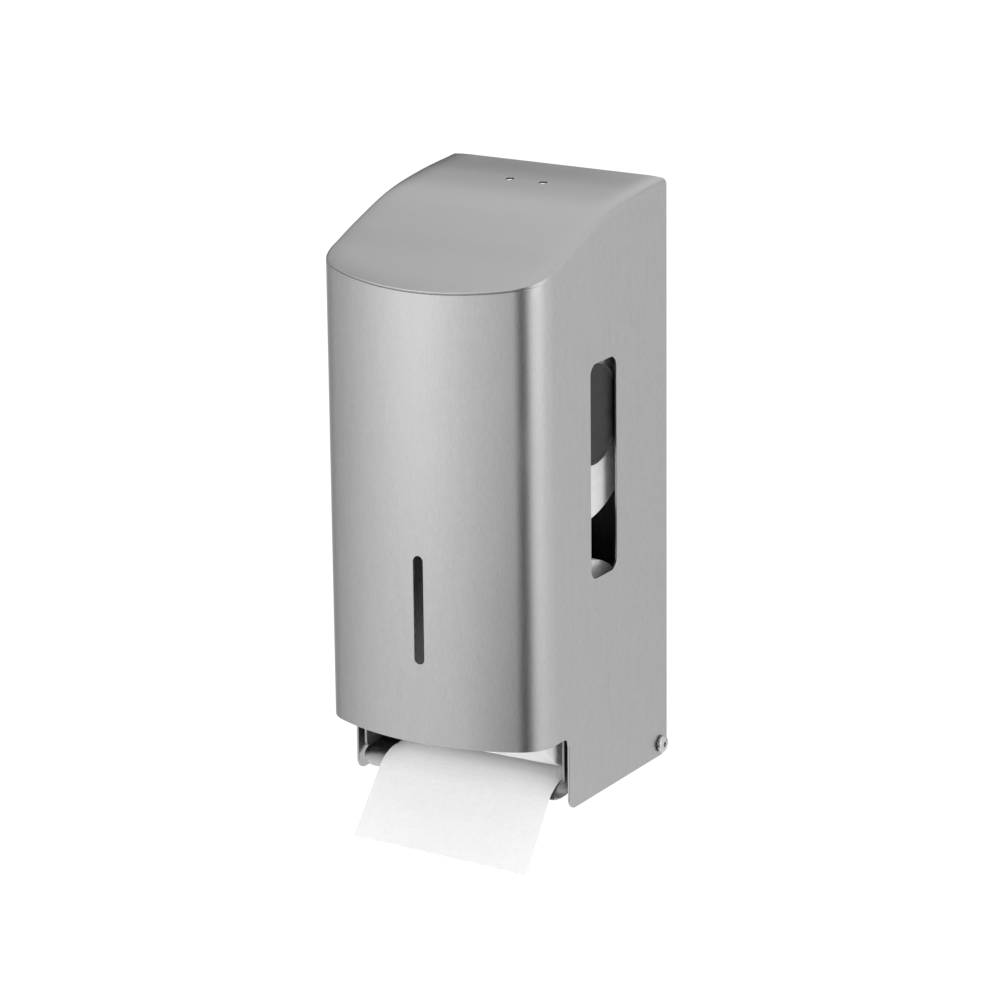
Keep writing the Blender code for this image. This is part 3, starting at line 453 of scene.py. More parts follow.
def filledPattern(loops, lattice, clear):
    # Triangles inside the first loop and outside the others, through a lattice of inner points
    nearest = 1e-8  # points closer than this fall together
    rims = np.round([point for loop in loops for point in loop], 8)  # straight rims come out exactly straight
    grid = np.array(lattice, float)
    grid = grid[insideLoops(grid, loops)]
    gaps = [np.linalg.norm(rims - point, axis=1).min() for point in grid]
    grid = grid[np.array(gaps) > clear]
    allPoints = np.concatenate([rims, grid])
    edges = []
    start = 0
    for loop in loops:
        count = len(loop)
        edges += [(start + index, start + (index + 1) % count) for index in range(count)]
        start += count
    found = delaunay_2d_cdt([Vector(point) for point in allPoints], edges, [], 0, nearest)
    origin = [min(ids) if ids else -1 for ids in found[3]]
    same = list(range(len(allPoints)))
    for ids in found[3]:
        for v in ids:
            same[v] = min(ids)
    faces = [[origin[v] for v in face] for face in found[2]]
    centres = np.array([allPoints[face].mean(axis=0) for face in faces])
    inside = insideLoops(centres, loops)
    faces = [face for face, ok in zip(faces, inside) if ok and -1 not in face]
    return allPoints, faces, same


class SheetBuild:
    # A pattern laid out flat, then bent: outer face, inner face and rounded rims between them
    def __init__(self, bend, thickness, rim):
        self.bend, self.thickness, self.rim = bend, thickness, rim
        self.points, self.faces = [], []

    def vert(self, point):
        self.points.append(tuple(point))
        return len(self.points) - 1

    def drawnIn(self, line, closed=True):
        # The edge of the flat faces, one rim inside the sheet's own edge
        return np.array(line) - self.rim * outward(line, closed)

    def side(self, flat, same, inset):
        # One vertex for every place of the pattern, and places that fall together share theirs
        row = []
        for v, (a, b) in enumerate(flat):
            row.append(self.vert(self.bend(a, b, inset)) if same[v] == v else row[same[v]])
        return row

    def hem(self, line, bend, outer, inner, ring=True):
        # The rounded rim along one line, between the outer and the inner face
        upper = [self.vert(bend(a, b, self.rim)) for a, b in line]
        lower = [self.vert(bend(a, b, self.thickness - self.rim)) for a, b in line]
        bands, count = [outer, upper, lower, inner], len(line)
        for first in range(count if ring else count - 1):
            second = (first + 1) % count
            for near, far in zip(bands, bands[1:]):
                self.faces.append([near[second], near[first], far[first], far[second]])
        return upper, lower

    def lay(self, chain, holes, lattice, clear, seam=()):
        closed = not seam
        edgeLoops = [[*self.drawnIn(chain, closed), *seam]] + [self.drawnIn(hole) for hole in holes]
        flat, triangles, same = filledPattern(edgeLoops, lattice, clear)
        outer, inner = self.side(flat, same, 0), self.side(flat, same, self.thickness)
        self.faces += [[outer[v] for v in face] for face in triangles]
        self.faces += [[inner[v] for v in reversed(face)] for face in triangles]
        start = 0
        for index, line in enumerate([chain] + list(holes)):
            stop = start + len(line)
            ring = closed or index > 0
            upper, lower = self.hem(line, self.bend, outer[start:stop], inner[start:stop], ring)
            if not ring:
                self.ends = [(upper[0], lower[0]), (upper[-1], lower[-1])]
            start += len(edgeLoops[index])
        seamStart = len(chain)
        self.seamOuter = outer[seamStart:seamStart + len(seam)]
        self.seamInner = inner[seamStart:seamStart + len(seam)]


def turnedMesh(profile, centre, segments, radiusAt):
    # Closed profile of (along x, radius), turned about an axis parallel to X
    points, faces, rings = [], [], []
    for j, (along, radius) in enumerate(profile):
        if radius <= 0:
            points.append((centre[0] + along, centre[1], centre[2]))
            rings.append([len(points) - 1] * segments)
            continue
        ring = []
        for index in range(segments):
            turn = 2 * pi * index / segments
            r, x = radiusAt(j, turn)
            points.append((centre[0] + x, centre[1] + r * cos(turn), centre[2] + r * sin(turn)))
            ring.append(len(points) - 1)
        rings.append(ring)
    count = len(profile)
    for j in range(count):
        near, far = rings[j], rings[(j + 1) % count]
        if profile[j][1] <= 0 and profile[(j + 1) % count][1] <= 0:
            continue
        for index in range(segments):
            other = (index + 1) % segments
            face = [near[index], near[other], far[other], far[index]]
            faces.append(list(dict.fromkeys(face)))
    return points, faces


# Cover: sides and bowed front from one bent sheet, with the curved top joined by soft edges

cover = {
    "half": 0.064, "corner": 0.0209, "bow": 0.1219, "straight": 0.11584, "depth": 0.1464, "rearGap": 0.0003,
    "sheet": 0.0012, "rim": 0.00018, "height": 0.3093, "fall": 0.0337,
    "fallShares": ((0.0, 0.0), (0.22, 0.062), (0.44, 0.2), (0.67, 0.51), (0.79, 0.705), (1.0, 1.0)),
    "outlet": 0.0392, "outletRound": 0.005, "tab": 0.1028, "tabRound": 0.006, "rearRound": 0.0065,
    "window": (0.0529, 0.0792, 0.116, 0.2283), "windowRound": 0.0055,  # rear, front, foot, head
    "slot": (0.0055, 0.0814, 0.1383, 0.0025),  # width, foot, head, middle
    "pivot": (0.0072, 0.0065, 0.0039), "keyHole": (0.00975, 0.0325, 0.00235),
    "sideFillet": 0.003, "frontFillet": 0.0008, "arcSteps": 7, "softFrom": 26, "softOver": 52,
    "groove": 0.0006, "grooveWidth": 0.0009, "grooveFrom": 30, "grooveOver": 35,
    "grooveShares": ((0, 1), (0.35, 0.86), (1, 0.55), (1, 0.4), (0.3, 0.14)),
    "shoulder": 0.0008, "shoulderWidth": 0.011, "leanStep": 0.0004, "riseStep": 0.0015,
}  # softFrom, softOver, grooveFrom and grooveOver are degrees round from the front
coverMesh = {
    "sideColumn": 0.0045, "cornerColumn": 0.0011, "bowColumn": 0.0027, "row": 0.0055, "firstRow": 0.003,
    "outline": 0.0012, "windowArc": 0.0007, "slotArc": 0.0005, "pivotArc": 0.0006, "keyHoleArc": 0.0005,
    "straight": 0.002, "clear": 0.00085, "topRear": 0.004, "topClear": 0.0022,
    "topAcross": (-0.0625, 0.063, 0.0041), "topDeep": 0.0031,
}  # how far apart the mesh's points stand on each stretch
cover["spread"] = asin((cover["half"] - cover["corner"]) / (cover["bow"] - cover["corner"]))
cover["bowLength"] = cover["bow"] * cover["spread"]
cover["cornerLength"] = cover["corner"] * (pi / 2 - cover["spread"])
cover["bends"] = cover["bowLength"] + cover["cornerLength"]
cover["reach"] = cover["bends"] + cover["straight"] - cover["rearGap"]


def coverPlan(along):
    # Place and outward normal at a length along the plan line, from the middle of the front
    side, run = (1 if along >= 0 else -1), abs(along)
    if run <= cover["bowLength"]:
        turn = run / cover["bow"]
        x, y = cover["bow"] * sin(turn), cover["bow"] - cover["depth"] - cover["bow"] * cos(turn)
    elif run <= cover["bends"]:
        turn = cover["spread"] + (run - cover["bowLength"]) / cover["corner"]
        x = cover["half"] - cover["corner"] + cover["corner"] * sin(turn)
        y = -cover["straight"] - cover["corner"] * cos(turn)
    else:
        turn = pi / 2
        x, y = cover["half"], -cover["straight"] + run - cover["bowLength"] - cover["cornerLength"]
    return side * x, y, side * sin(turn), -cos(turn)


def topHeight(depth):
    share = clamped(depth / cover["depth"])
    stations = cover["fallShares"]
    index = max(i for i in range(len(stations) - 1) if share >= stations[i][0])
    (s0, f0), (s1, f1) = stations[index], stations[index + 1]

    def slope(i):
        low, high = stations[max(i - 1, 0)], stations[min(i + 1, len(stations) - 1)]
        return (high[1] - low[1]) / (high[0] - low[0])

    span = s1 - s0
    t = (share - s0) / span
    fall = (
        f0 * (2 * t ** 3 - 3 * t ** 2 + 1) + slope(index) * span * (t ** 3 - 2 * t ** 2 + t)
        + f1 * (3 * t ** 2 - 2 * t ** 3) + slope(index + 1) * span * (t ** 3 - t ** 2)
    )
    return cover["height"] - cover["fall"] * fall


def planInset(x, y):
    # How far a point of the plan lies inside the wall's outer face
    across, depth = abs(x), -y
    inset = cover["half"] - across
    if depth > cover["straight"] and across > cover["half"] - cover["corner"]:
        reach = hypot(across - cover["half"] + cover["corner"], depth - cover["straight"])
        inset = min(inset, cover["corner"] - reach)
    ahead = depth - cover["depth"] + cover["bow"]
    if atan2(across, ahead) <= cover["spread"]:
        inset = min(inset, cover["bow"] - hypot(across, ahead))
    return inset


def topLevel(x, y):
    # The pressed top falls a little towards the walls
    share = 1 - clamped(planInset(x, y) / cover["shoulderWidth"])
    return topHeight(-y) - cover["shoulder"] * share * share


def topLean(x, y):
    step = cover["leanStep"]
    alongX = (topLevel(x + step, y) - topLevel(x - step, y)) / (2 * step)
    alongY = (topLevel(x, y + step) - topLevel(x, y - step)) / (2 * step)
    return sqrt(1 + alongX * alongX + alongY * alongY)


def bendWall(along, height, inset):
    x, y, nx, ny = coverPlan(along)
    return x - nx * inset, y - ny * inset, height + wallZero


def bendTop(x, y, inset):
    return x, y, topLevel(x, y) - inset * topLean(x, y) + wallZero


def coverEdge(along):
    # Profile across the join of wall and top at one place: inset from the wall against height
    x, y, nx, ny = coverPlan(along)
    face = abs(atan2(nx, -ny))
    soft = clamped((face - radians(cover["softFrom"])) / radians(cover["softOver"]))
    soft = soft * soft * (3 - 2 * soft)
    radius = cover["frontFillet"] + (cover["sideFillet"] - cover["frontFillet"]) * soft
    fade = clamped((face - radians(cover["grooveFrom"])) / radians(cover["grooveOver"]))
    groove = cover["groove"] * (1 - fade)
    level, step = topLevel(x, y), cover["riseStep"]
    rise = (topLevel(x - nx * step, y - ny * step) - level) / step
    lean = sqrt(1 + rise * rise)
    middle = level + rise * radius - radius * lean
    wide = cover["grooveWidth"]
    profile = [(groove * deep, middle - wide * down) for deep, down in cover["grooveShares"]]
    final = pi / 2 + atan(rise)
    for index in range(cover["arcSteps"] + 1):
        turn = pi + (final - pi) * index / cover["arcSteps"]
        inset = radius + radius * cos(turn)
        straight = level + rise * inset
        true = topLevel(x - nx * inset, y - ny * inset)
        share = index / cover["arcSteps"]
        profile.append((inset, middle + radius * sin(turn) + (true - straight) * share))
    return profile


def coverColumns():
    right, bends = [cover["reach"] - cover["rim"]], cover["bends"]
    steps = ceil((right[0] - bends) / coverMesh["sideColumn"])
    right = [right[0] + (bends - right[0]) * index / steps for index in range(steps)]
    steps = ceil(cover["cornerLength"] / coverMesh["cornerColumn"])
    right += [bends - cover["cornerLength"] * index / steps for index in range(steps)]
    steps = ceil(cover["bowLength"] / coverMesh["bowColumn"])
    right += [cover["bowLength"] * (1 - index / steps) for index in range(steps)]
    return right + [0.0] + [-u for u in reversed(right)]


def sideAt(depth):
    # Length along the plan line of a place on the flat side, so far in front of the wall
    return cover["bends"] + cover["straight"] - depth


def coverOpenings():
    # Window, slot and pivot holes in the flat sheet
    rear, front, low, high = cover["window"]
    rear, front = sideAt(rear), sideAt(front)
    r = cover["windowRound"]
    window = [(front, low, r), (front, high, r), (rear, high, r), (rear, low, r)]
    window = subdivided(roundedLoop(window, coverMesh["windowArc"]), coverMesh["straight"])
    width, low, high, middle = cover["slot"]
    cap, fine = width / 2, coverMesh["slotArc"]
    slot = arcPoints((middle, low + cap), cap, 0, -pi, fine)
    slot += arcPoints((middle, high - cap), cap, pi, 0, fine)
    depth, level, r = cover["pivot"]
    pivots = holePair(sideAt(depth), level, r, coverMesh["pivotArc"])
    return [window, subdivided(slot, coverMesh["straight"])] + pivots


def addCoverTop(sheet, edge, inner):
    # The top panel with its key holes, laid out in plan inside the soft edge
    around = [sheet.points[v][:2] for v in edge]
    rearLine = subdivided([around[-1], around[0]], coverMesh["topRear"], closed=False)[1:-1]
    outline = around + rearLine
    x, depth, r = cover["keyHole"]
    holes = holePair(x, -depth, r, coverMesh["keyHoleArc"])
    deep = np.arange(coverMesh["firstRow"], cover["depth"], coverMesh["topDeep"])
    grid = [(a, -b) for a in np.arange(*coverMesh["topAcross"]) for b in deep]
    loops = [outline] + [sheet.drawnIn(hole) for hole in holes]
    flat, triangles = filledPattern(loops, grid, coverMesh["topClear"])[:2]
    count = len(edge)
    outerIds = edge + [sheet.vert(bendTop(a, b, 0)) for a, b in flat[count:]]
    innerIds = inner + [sheet.vert(bendTop(a, b, cover["sheet"])) for a, b in flat[count:]]
    for face in triangles:
        a, b, c = (flat[v] for v in face)
        turn = (b[0] - a[0]) * (c[1] - a[1]) - (b[1] - a[1]) * (c[0] - a[0])
        face = face if turn > 0 else face[::-1]
        sheet.faces.append([outerIds[v] for v in face])
        sheet.faces.append([innerIds[v] for v in reversed(face)])
    rearChain = [count - 1] + list(range(count, len(outline))) + [0]
    for near, far in zip(rearChain, rearChain[1:]):
        sheet.faces.append([outerIds[near], outerIds[far], innerIds[far], innerIds[near]])
    start = len(outline)
    for hole in holes:
        stop = start + len(hole)
        sheet.hem(hole, bendTop, outerIds[start:stop], innerIds[start:stop])
        start = stop


def makeCover():
    columns = coverColumns()
    edges = {u: coverEdge(u) for u in columns}
    seam = [(u, edges[u][0][1]) for u in columns]
    tab, end = sideAt(cover["tab"]), cover["reach"]
    corners = [
        (-end, seam[-1][1], 0), (-end, 0, cover["rearRound"]), (-tab, 0, cover["tabRound"]),
        (-tab, cover["outlet"], cover["outletRound"]), (tab, cover["outlet"], cover["outletRound"]),
        (tab, 0, cover["tabRound"]), (end, 0, cover["rearRound"]), (end, seam[0][1], 0),
    ]
    chain = subdivided(roundedLoop(corners, closed=False), coverMesh["outline"], closed=False)
    rows = np.arange(coverMesh["firstRow"], cover["height"], coverMesh["row"])
    lattice = [(u, z) for u in columns for z in rows]
    sheet = SheetBuild(bendWall, cover["sheet"], cover["rim"])
    sheet.lay(chain, coverOpenings(), lattice, coverMesh["clear"], seam)

    # Soft edge from the wall's upper end on to the top
    rings = [sheet.seamOuter]
    for step in range(1, len(edges[columns[0]])):
        rings.append([sheet.vert(bendWall(u, edges[u][step][1], edges[u][step][0])) for u in columns])
    for near, far in zip(rings, rings[1:]):
        sheet.faces += [[near[i + 1], near[i], far[i], far[i + 1]] for i in range(len(columns) - 1)]
    wallFaces = len(sheet.faces)
    inner = sheet.seamInner
    for u, v in zip(columns, inner):
        x, y, z = bendWall(u, 0, cover["sheet"])
        sheet.points[v] = bendTop(x, y, cover["sheet"])
    addCoverTop(sheet, rings[-1], inner)
    for column, (upper, lower) in zip((0, -1), (sheet.ends[1], sheet.ends[0])):
        cap = [ring[column] for ring in rings] + [inner[column], lower, upper]
        sheet.faces.append(cap[::-1] if column == 0 else cap)
    slots = [0] * wallFaces + [1] * (len(sheet.faces) - wallFaces)
    finishes = [brushedWall, brushedTop]
    piece = meshPiece("coverShell", sheet.points, sheet.faces, finishes, "cover", slots)
    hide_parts("cover_wrap", "cover_top")
    return piece


coverShell = makeCover()
print("cover made:", len(coverShell.data.polygons), "faces")


# Rolls of tissue: wound ends in fine rings, a loose outer sheet and a soft edge

rollSettings = {
    "upper": {
        "axis": (0, -0.0707, 0.0458), "radius": 0.0585, "low": -0.047, "high": 0.055, "lap": 1.2, "seed": 3,
    },
    "lower": {
        "axis": (0, -0.0707, -0.087), "radius": 0.054, "low": -0.048, "high": 0.054, "lap": 4.4, "seed": 8,
    },
}
winding = {
    "bore": 0.0215, "ring": 0.0011, "relief": 0.00016, "edge": 0.0012, "edgeTurns": (0.4, 0.8, 1.2),
    "step": 0.00022, "stepRoom": 1.6, "ripple": 0.0002, "swell": 0.0001, "segments": 192, "across": 30,
}


def makeRoll(word, look, wind):
    rng = random.Random(look["seed"])
    low, high, edge = look["low"], look["high"], wind["edge"]
    radius = look["radius"] - wind["stepRoom"] * wind["step"]
    rings = ceil((radius - edge - wind["bore"]) / wind["ring"])
    radii = [wind["bore"] + (radius - edge - wind["bore"]) * index / rings for index in range(rings + 1)]

    def endFace(face, side):
        # Every second turn of the paper stands a little deeper
        depths = [rng.uniform(0.2, 1) if index % 2 else rng.uniform(0, 0.3) for index in range(rings + 1)]
        return [(face - side * wind["relief"] * depth, r) for depth, r in zip(depths, radii)]

    rounding = [(edge * (1 - cos(turn)), radius - edge * (1 - sin(turn))) for turn in wind["edgeTurns"]]
    width, steps = low - high + 2 * edge, wind["across"]
    outside = [(high - edge + width * index / steps, radius) for index in range(steps + 1)]
    profile = endFace(high, 1) + [(high - inset, r) for inset, r in rounding] + outside
    profile += [(low + inset, r) for inset, r in reversed(rounding)] + endFace(low, -1)[::-1]
    ripples = [(rng.uniform(0, 2 * pi), rng.uniform(0, wind["ripple"])) for point in profile]
    ends = set(range(1, rings)) | set(range(len(profile) - rings, len(profile) - 1))

    def radiusAt(j, turn):
        along, r = profile[j]
        outer = max(0.0, (r - wind["bore"]) / (radius - wind["bore"])) ** 6
        lap = (turn - look["lap"]) % (2 * pi) / (2 * pi)
        r += (wind["step"] * (1 - lap) + wind["swell"] * sin(3 * turn + look["seed"])) * outer
        if j in ends:
            phase, size = ripples[j]
            r += size * sin(2 * turn + phase)
        return r, along

    points, faces = turnedMesh(profile, look["axis"], wind["segments"], radiusAt)
    piece = meshPiece(word + "Roll", points, faces, [tissuePaper], word + "_roll")
    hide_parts(word + "_paper_roll")


for word, look in rollSettings.items():
    makeRoll(word, look, winding)
print("rolls wound")


# Card cores: thin tubes with the spiral seam of the wound card

coreSettings = {
    "bore": 0.0198, "outer": 0.0212, "pitch": 0.034, "groove": 0.00018, "seamShare": 0.045,
    "segments": 96, "across": 60,
}


def makeCore(word, look, core):
    low, high, steps = look["low"], look["high"], core["across"]
    line = [low + (high - low) * index / steps for index in range(steps + 1)]
    profile = [(x, core["bore"]) for x in line] + [(x, core["outer"]) for x in reversed(line)]

    def radiusAt(j, turn):
        along, r = profile[j]
        seam = (along / core["pitch"] - turn / (2 * pi)) % 1
        return r + (core["groove"] if j <= steps and seam < core["seamShare"] else 0), along

    points, faces = turnedMesh(profile, look["axis"], core["segments"], radiusAt)
    piece = meshPiece(word + "Core", points, faces, [cardboard], word + "_roll")
    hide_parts(word + "_card_core")


for word, look in rollSettings.items():
    makeCore(word, look, coreSettings)
print("card cores made")


# Spindles: two moulded halves, each with a wide end disc

spindle = {
    "face": 0.0615, "disc": 0.026, "rim": 0.0006, "rimWidth": 0.0016, "discIn": 0.0567, "tube": 0.0195,
    "bore": 0.0167, "plug": 0.0164, "plugBore": 0.0132, "plugEnd": -0.026, "web": 0.0593, "join": 0.00015,
    "round": 0.0004, "marks": ((0.0105, 0.4), (0.0105, 2.5), (0.0105, 4.6)),
    "markRadius": 0.0026, "markDepth": 0.00012, "markSlope": 0.0004, "faceRings": 22, "segments": 128,
}  # marks of the mould's ejector pins: distance from the axis and turn


def softened(profile, radius, steps=3):
    # Small rounds on every corner that doesn't lie on the axis
    line, count = [], len(profile)
    for index, point in enumerate(profile):
        if point[1] <= 0:
            line.append(point)
            continue
        corner = Vector(point)
        back, ahead = Vector(profile[index - 1]) - corner, Vector(profile[(index + 1) % count]) - corner
        reach = min(radius, back.length / 2.2, ahead.length / 2.2)  # two rounds on one edge never meet
        first, last = corner + back.normalized() * reach, corner + ahead.normalized() * reach
        for step in range(steps + 1):
            t = step / steps
            line.append(tuple(first * (1 - t) ** 2 + corner * 2 * t * (1 - t) + last * t ** 2))
    return line


def makeSpindle(word, look, part):
    face, inner = part["face"] - part["rim"], part["disc"] - part["rimWidth"]
    outside = [
        (face, 0), (face, inner - part["rim"]), (part["face"], inner), (part["face"], part["disc"]),
        (part["discIn"], part["disc"]), (part["discIn"], part["tube"]), (part["join"], part["tube"]),
    ]
    halves = {
        "Socket": (-1, [(part["join"], part["bore"]), (part["web"], part["bore"]), (part["web"], 0)]),
        "Plug": (1, [
            (part["join"], part["plug"]), (part["plugEnd"], part["plug"]),
            (part["plugEnd"], part["plugBore"]), (part["web"], part["plugBore"]), (part["web"], 0),
        ]),
    }
    for half, (side, inside) in halves.items():
        line = softened(outside + inside, part["round"])
        count = part["faceRings"]
        rings = [(face, line[1][1] * index / count) for index in range(1, count)]
        line = line[:1] + rings + line[1:]

        def radiusAt(j, turn):
            along, r = line[j]
            if 1 <= j <= len(rings):
                for reach, angle in part["marks"]:
                    gap = hypot(r * cos(turn) - reach * cos(angle), r * sin(turn) - reach * sin(angle))
                    along -= part["markDepth"] * clamped((part["markRadius"] - gap) / part["markSlope"])
            return r, side * along

        mirrored = [(side * x, r) for x, r in line]
        points, faces = turnedMesh(mirrored, look["axis"], part["segments"], radiusAt)
        name, body = word + "Spindle" + half, word + "_spindle"
        piece = meshPiece(name, points, faces, [greyPlastic], body)
        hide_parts(f"{word}_spindle_{half.lower()}")


for word, look in rollSettings.items():
    makeSpindle(word, look, spindle)
print("spindles made")


# Paper shelf: bent sheet with a rear upstand and the rolled lip

shelf = {
    "top": 0.0125, "sheet": 0.0012, "rear": 0.0015, "upstand": 0.0215, "bend": 0.003, "lipStart": 0.09,
    "lipRadius": 0.0155, "lipTurn": radians(58), "lipTail": 0.001, "rim": 0.0002,
    "halfUpstand": 0.0429, "halfInside": 0.0585, "half": 0.0615, "neck": 0.0054, "waist": 0.0172,
    "corner": 0.0085, "rivet": (0.03, 0.008, 0.0019),
    "upstandRound": 0.0015, "notchRound": 0.0024, "insideRound": 0.0008, "waistRound": 0.0005,
}
shelfMesh = {
    "bendArc": 0.0003, "flatFrom": 0.02, "flatRun": 0.07, "flatRows": 12, "lipArc": 0.0006, "lipRow": 0.0009,
    "cornerArc": 0.0006, "straight": 0.0016, "rivetArc": 0.0005,
    "half": 0.06, "column": 0.004, "clear": 0.0006,
}  # how far apart the mesh's points stand on each stretch


def shelfLine(part):
    # The sheet's upper face as (y, height), from the upstand's top to the lip's end
    top, front = part["top"], -part["rear"] - part["sheet"]
    inner = part["bend"] - part["sheet"]
    line = [(front, top + part["upstand"])]
    line += arcPoints((front - inner, top + inner), inner, 0, -pi / 2, shelfMesh["bendArc"])
    flat, rows = shelfMesh["flatRun"], shelfMesh["flatRows"]
    line += [(-shelfMesh["flatFrom"] - flat * index / rows, top) for index in range(rows)]
    turn, radius = part["lipTurn"], part["lipRadius"]
    line += arcPoints((-part["lipStart"], top - radius), radius, pi / 2, pi / 2 + turn, shelfMesh["lipArc"])
    end = line[-1]
    return line + [(end[0] - part["lipTail"] * cos(turn), end[1] - part["lipTail"] * sin(turn))]


class BentLine:
    # A line in the (y, height) plane that a flat pattern is bent along
    def __init__(self, line):
        self.line = np.array(line, float)
        ahead = np.diff(self.line, axis=0)
        steps = np.linalg.norm(ahead, axis=1)
        self.lengths = np.concatenate([[0], np.cumsum(steps)])
        sides = np.stack([ahead[:, 1], -ahead[:, 0]], 1) / steps[:, None]
        self.sides = np.concatenate([sides[:1], (sides[:-1] + sides[1:]) / 2, sides[-1:]])
        self.total = float(self.lengths[-1])

    def at(self, length):
        y, z = (float(np.interp(length, self.lengths, self.line[:, i])) for i in (0, 1))
        ny, nz = (float(np.interp(length, self.lengths, self.sides[:, i])) for i in (0, 1))
        return y, z, ny / hypot(ny, nz), nz / hypot(ny, nz)

    def lengthAt(self, y):
        return float(np.interp(-y, -self.line[:, 0], self.lengths))


def makeShelf(part):
    path = BentLine(shelfLine(part))

    def bend(x, length, inset):
        y, z, ny, nz = path.at(length)
        return x, y - ny * inset, z - nz * inset + wallZero

    neck, waist, total = path.lengthAt(-part["neck"]), path.lengthAt(-part["waist"]), path.total
    right = [
        (part["halfUpstand"], 0, part["upstandRound"]), (part["halfUpstand"], neck, part["notchRound"]),
        (part["halfInside"], neck, part["insideRound"]), (part["halfInside"], waist, part["notchRound"]),
        (part["half"], waist, part["waistRound"]), (part["half"], total, part["corner"]),
    ]
    outline = roundedLoop([(-x, a, r) for x, a, r in right[::-1]] + right, shelfMesh["cornerArc"])
    outline = subdivided(outline, shelfMesh["straight"])
    holes = holePair(*part["rivet"], shelfMesh["rivetArc"])
    half, step = shelfMesh["half"], shelfMesh["column"]
    lipRows = np.arange(path.lengthAt(-part["lipStart"]), total, shelfMesh["lipRow"])
    rows = sorted(list(path.lengths[1:-1]) + list(lipRows))
    lattice = [(a, b) for b in rows for a in np.arange(-half, half + step / 8, step)]
    sheet = SheetBuild(bend, part["sheet"], part["rim"])
    sheet.lay(outline, holes, lattice, shelfMesh["clear"])
    piece = meshPiece("paperShelf", sheet.points, sheet.faces, [shelfSteel], "chassis")
    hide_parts("paper_shelf")


makeShelf(shelf)
print("shelf bent")


# Loose end of the paper: a thin embossed sheet off the roll, over the lip and down to its torn edge

tail = {
    "start": (-0.0707, 0.01362), "lipStart": 0.09, "top": 0.0125, "bend": 0.02214, "lipGap": 0.00016,
    "turn": (radians(51.4), radians(54.4)), "length": (0.0375, 0.0383),  # left and right side
    "low": (-0.048, -0.049), "high": (0.054, 0.0542), "thickness": 0.00022,
    "emboss": 0.00008, "dots": 0.0031, "dotShare": 0.32, "tear": 0.0003, "tooth": 0.0034, "toothShare": 0.16,
    "waves": 4, "wave": 0.00012, "wavePitch": (40, 110),
    "grid": 0.0009, "run": 0.078, "tearRun": 0.08, "seed": 21,
}


def makeTail(part):
    rng = random.Random(part["seed"])
    centre, radius = (-part["lipStart"], part["top"] - part["bend"] + part["lipGap"]), part["bend"]
    away = (part["start"][0] - centre[0], part["start"][1] - centre[1])
    touch = atan2(away[1], away[0]) + acos(radius / hypot(*away))
    landing = (centre[0] + radius * cos(touch), centre[1] + radius * sin(touch))
    flat = hypot(landing[0] - part["start"][0], landing[1] - part["start"][1])
    waves = [
        (rng.uniform(*part["wavePitch"]), rng.uniform(0, 2 * pi), rng.uniform(0.3, 1))
        for index in range(part["waves"])
    ]

    def between(pair, share):
        return pair[0] + (pair[1] - pair[0]) * share

    def surface(share, a):
        # Place and upper normal at one side share and one share of the length
        turn = between(part["turn"], share)
        arc, drop = radius * (pi / 2 + turn - touch), between(part["length"], share)
        run = a * (flat + arc + drop)
        if run < flat:
            t = run / flat
            y, z = (part["start"][i] + (landing[i] - part["start"][i]) * t for i in (0, 1))
            angle = touch
        elif run < flat + arc:
            angle = touch + (run - flat) / radius
            y, z = centre[0] + radius * cos(angle), centre[1] + radius * sin(angle)
        else:
            angle, past = pi / 2 + turn, run - flat - arc
            y = centre[0] + radius * cos(angle) - past * cos(turn)
            z = centre[1] + radius * sin(angle) - past * sin(turn)
        free = clamped((run - flat - arc) / drop)
        x = between((between(part["low"], free), between(part["high"], free)), share)
        return x, y, z, cos(angle), sin(angle), run, free

    across = int((part["high"][0] - part["low"][0]) / part["grid"])
    rows = int(part["run"] / part["grid"])
    torn = [rng.uniform(0, 1) for index in range(across + 1)]
    points, faces = [], []
    for layer in (0, 1):
        for j in range(rows + 1):
            for i in range(across + 1):
                a = j / rows
                if j == rows:
                    tooth = 1 if abs(i * part["grid"] / part["tooth"] % 1 - 0.5) < part["toothShare"] else 0
                    a -= part["tear"] / part["tearRun"] * (torn[i] + tooth)
                x, y, z, ny, nz, run, free = surface(i / across, a)
                row = run / part["dots"]
                du = (x / part["dots"] + 0.5 * (int(row) % 2)) % 1 - 0.5
                dot = max(0.0, 1 - (hypot(du, row % 1 - 0.5) / part["dotShare"]) ** 2)
                slow = sum(size * sin(pitch * x + phase) for pitch, phase, size in waves)
                slow *= part["wave"] * free ** 1.5
                lift = part["emboss"] * dot + slow - layer * part["thickness"]
                points.append((x, y + ny * lift, z + nz * lift + wallZero))
    width, count = across + 1, (across + 1) * (rows + 1)
    for j in range(rows):
        for i in range(across):
            a = j * width + i
            faces.append([a, a + width, a + width + 1, a + 1])
            faces.append([a + count, a + count + 1, a + count + width + 1, a + count + width])
    edge = list(range(across)) + [j * width + across for j in range(rows)]
    edge += [rows * width + i for i in range(across, 0, -1)] + [j * width for j in range(rows, 0, -1)]
    faces += [[a, b, b + count, a + count] for a, b in zip(edge, edge[1:] + edge[:1])]
    piece = meshPiece("paperTail", points, faces, [tissueSheet], "chassis")
    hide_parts("paper_tail")


makeTail(tail)
print("loose end laid")


# Pivot screws: domed heads with a hexagon recess

screw = {
    "axis": (0.0072, 0.0065), "tip": 0.05394, "shank": 0.002, "tipBevel": 0.0003, "under": 0.0646,
    "head": 0.0046, "height": 0.0021, "rim": 0.00095, "underBevel": 0.0002, "domeSteps": 8,
    "flat": 0.0019, "socket": 0.0015, "socketDepth": 0.0012, "socketBevel": 0.00012, "socketTaper": 0.00005,
    "segments": 72,
}


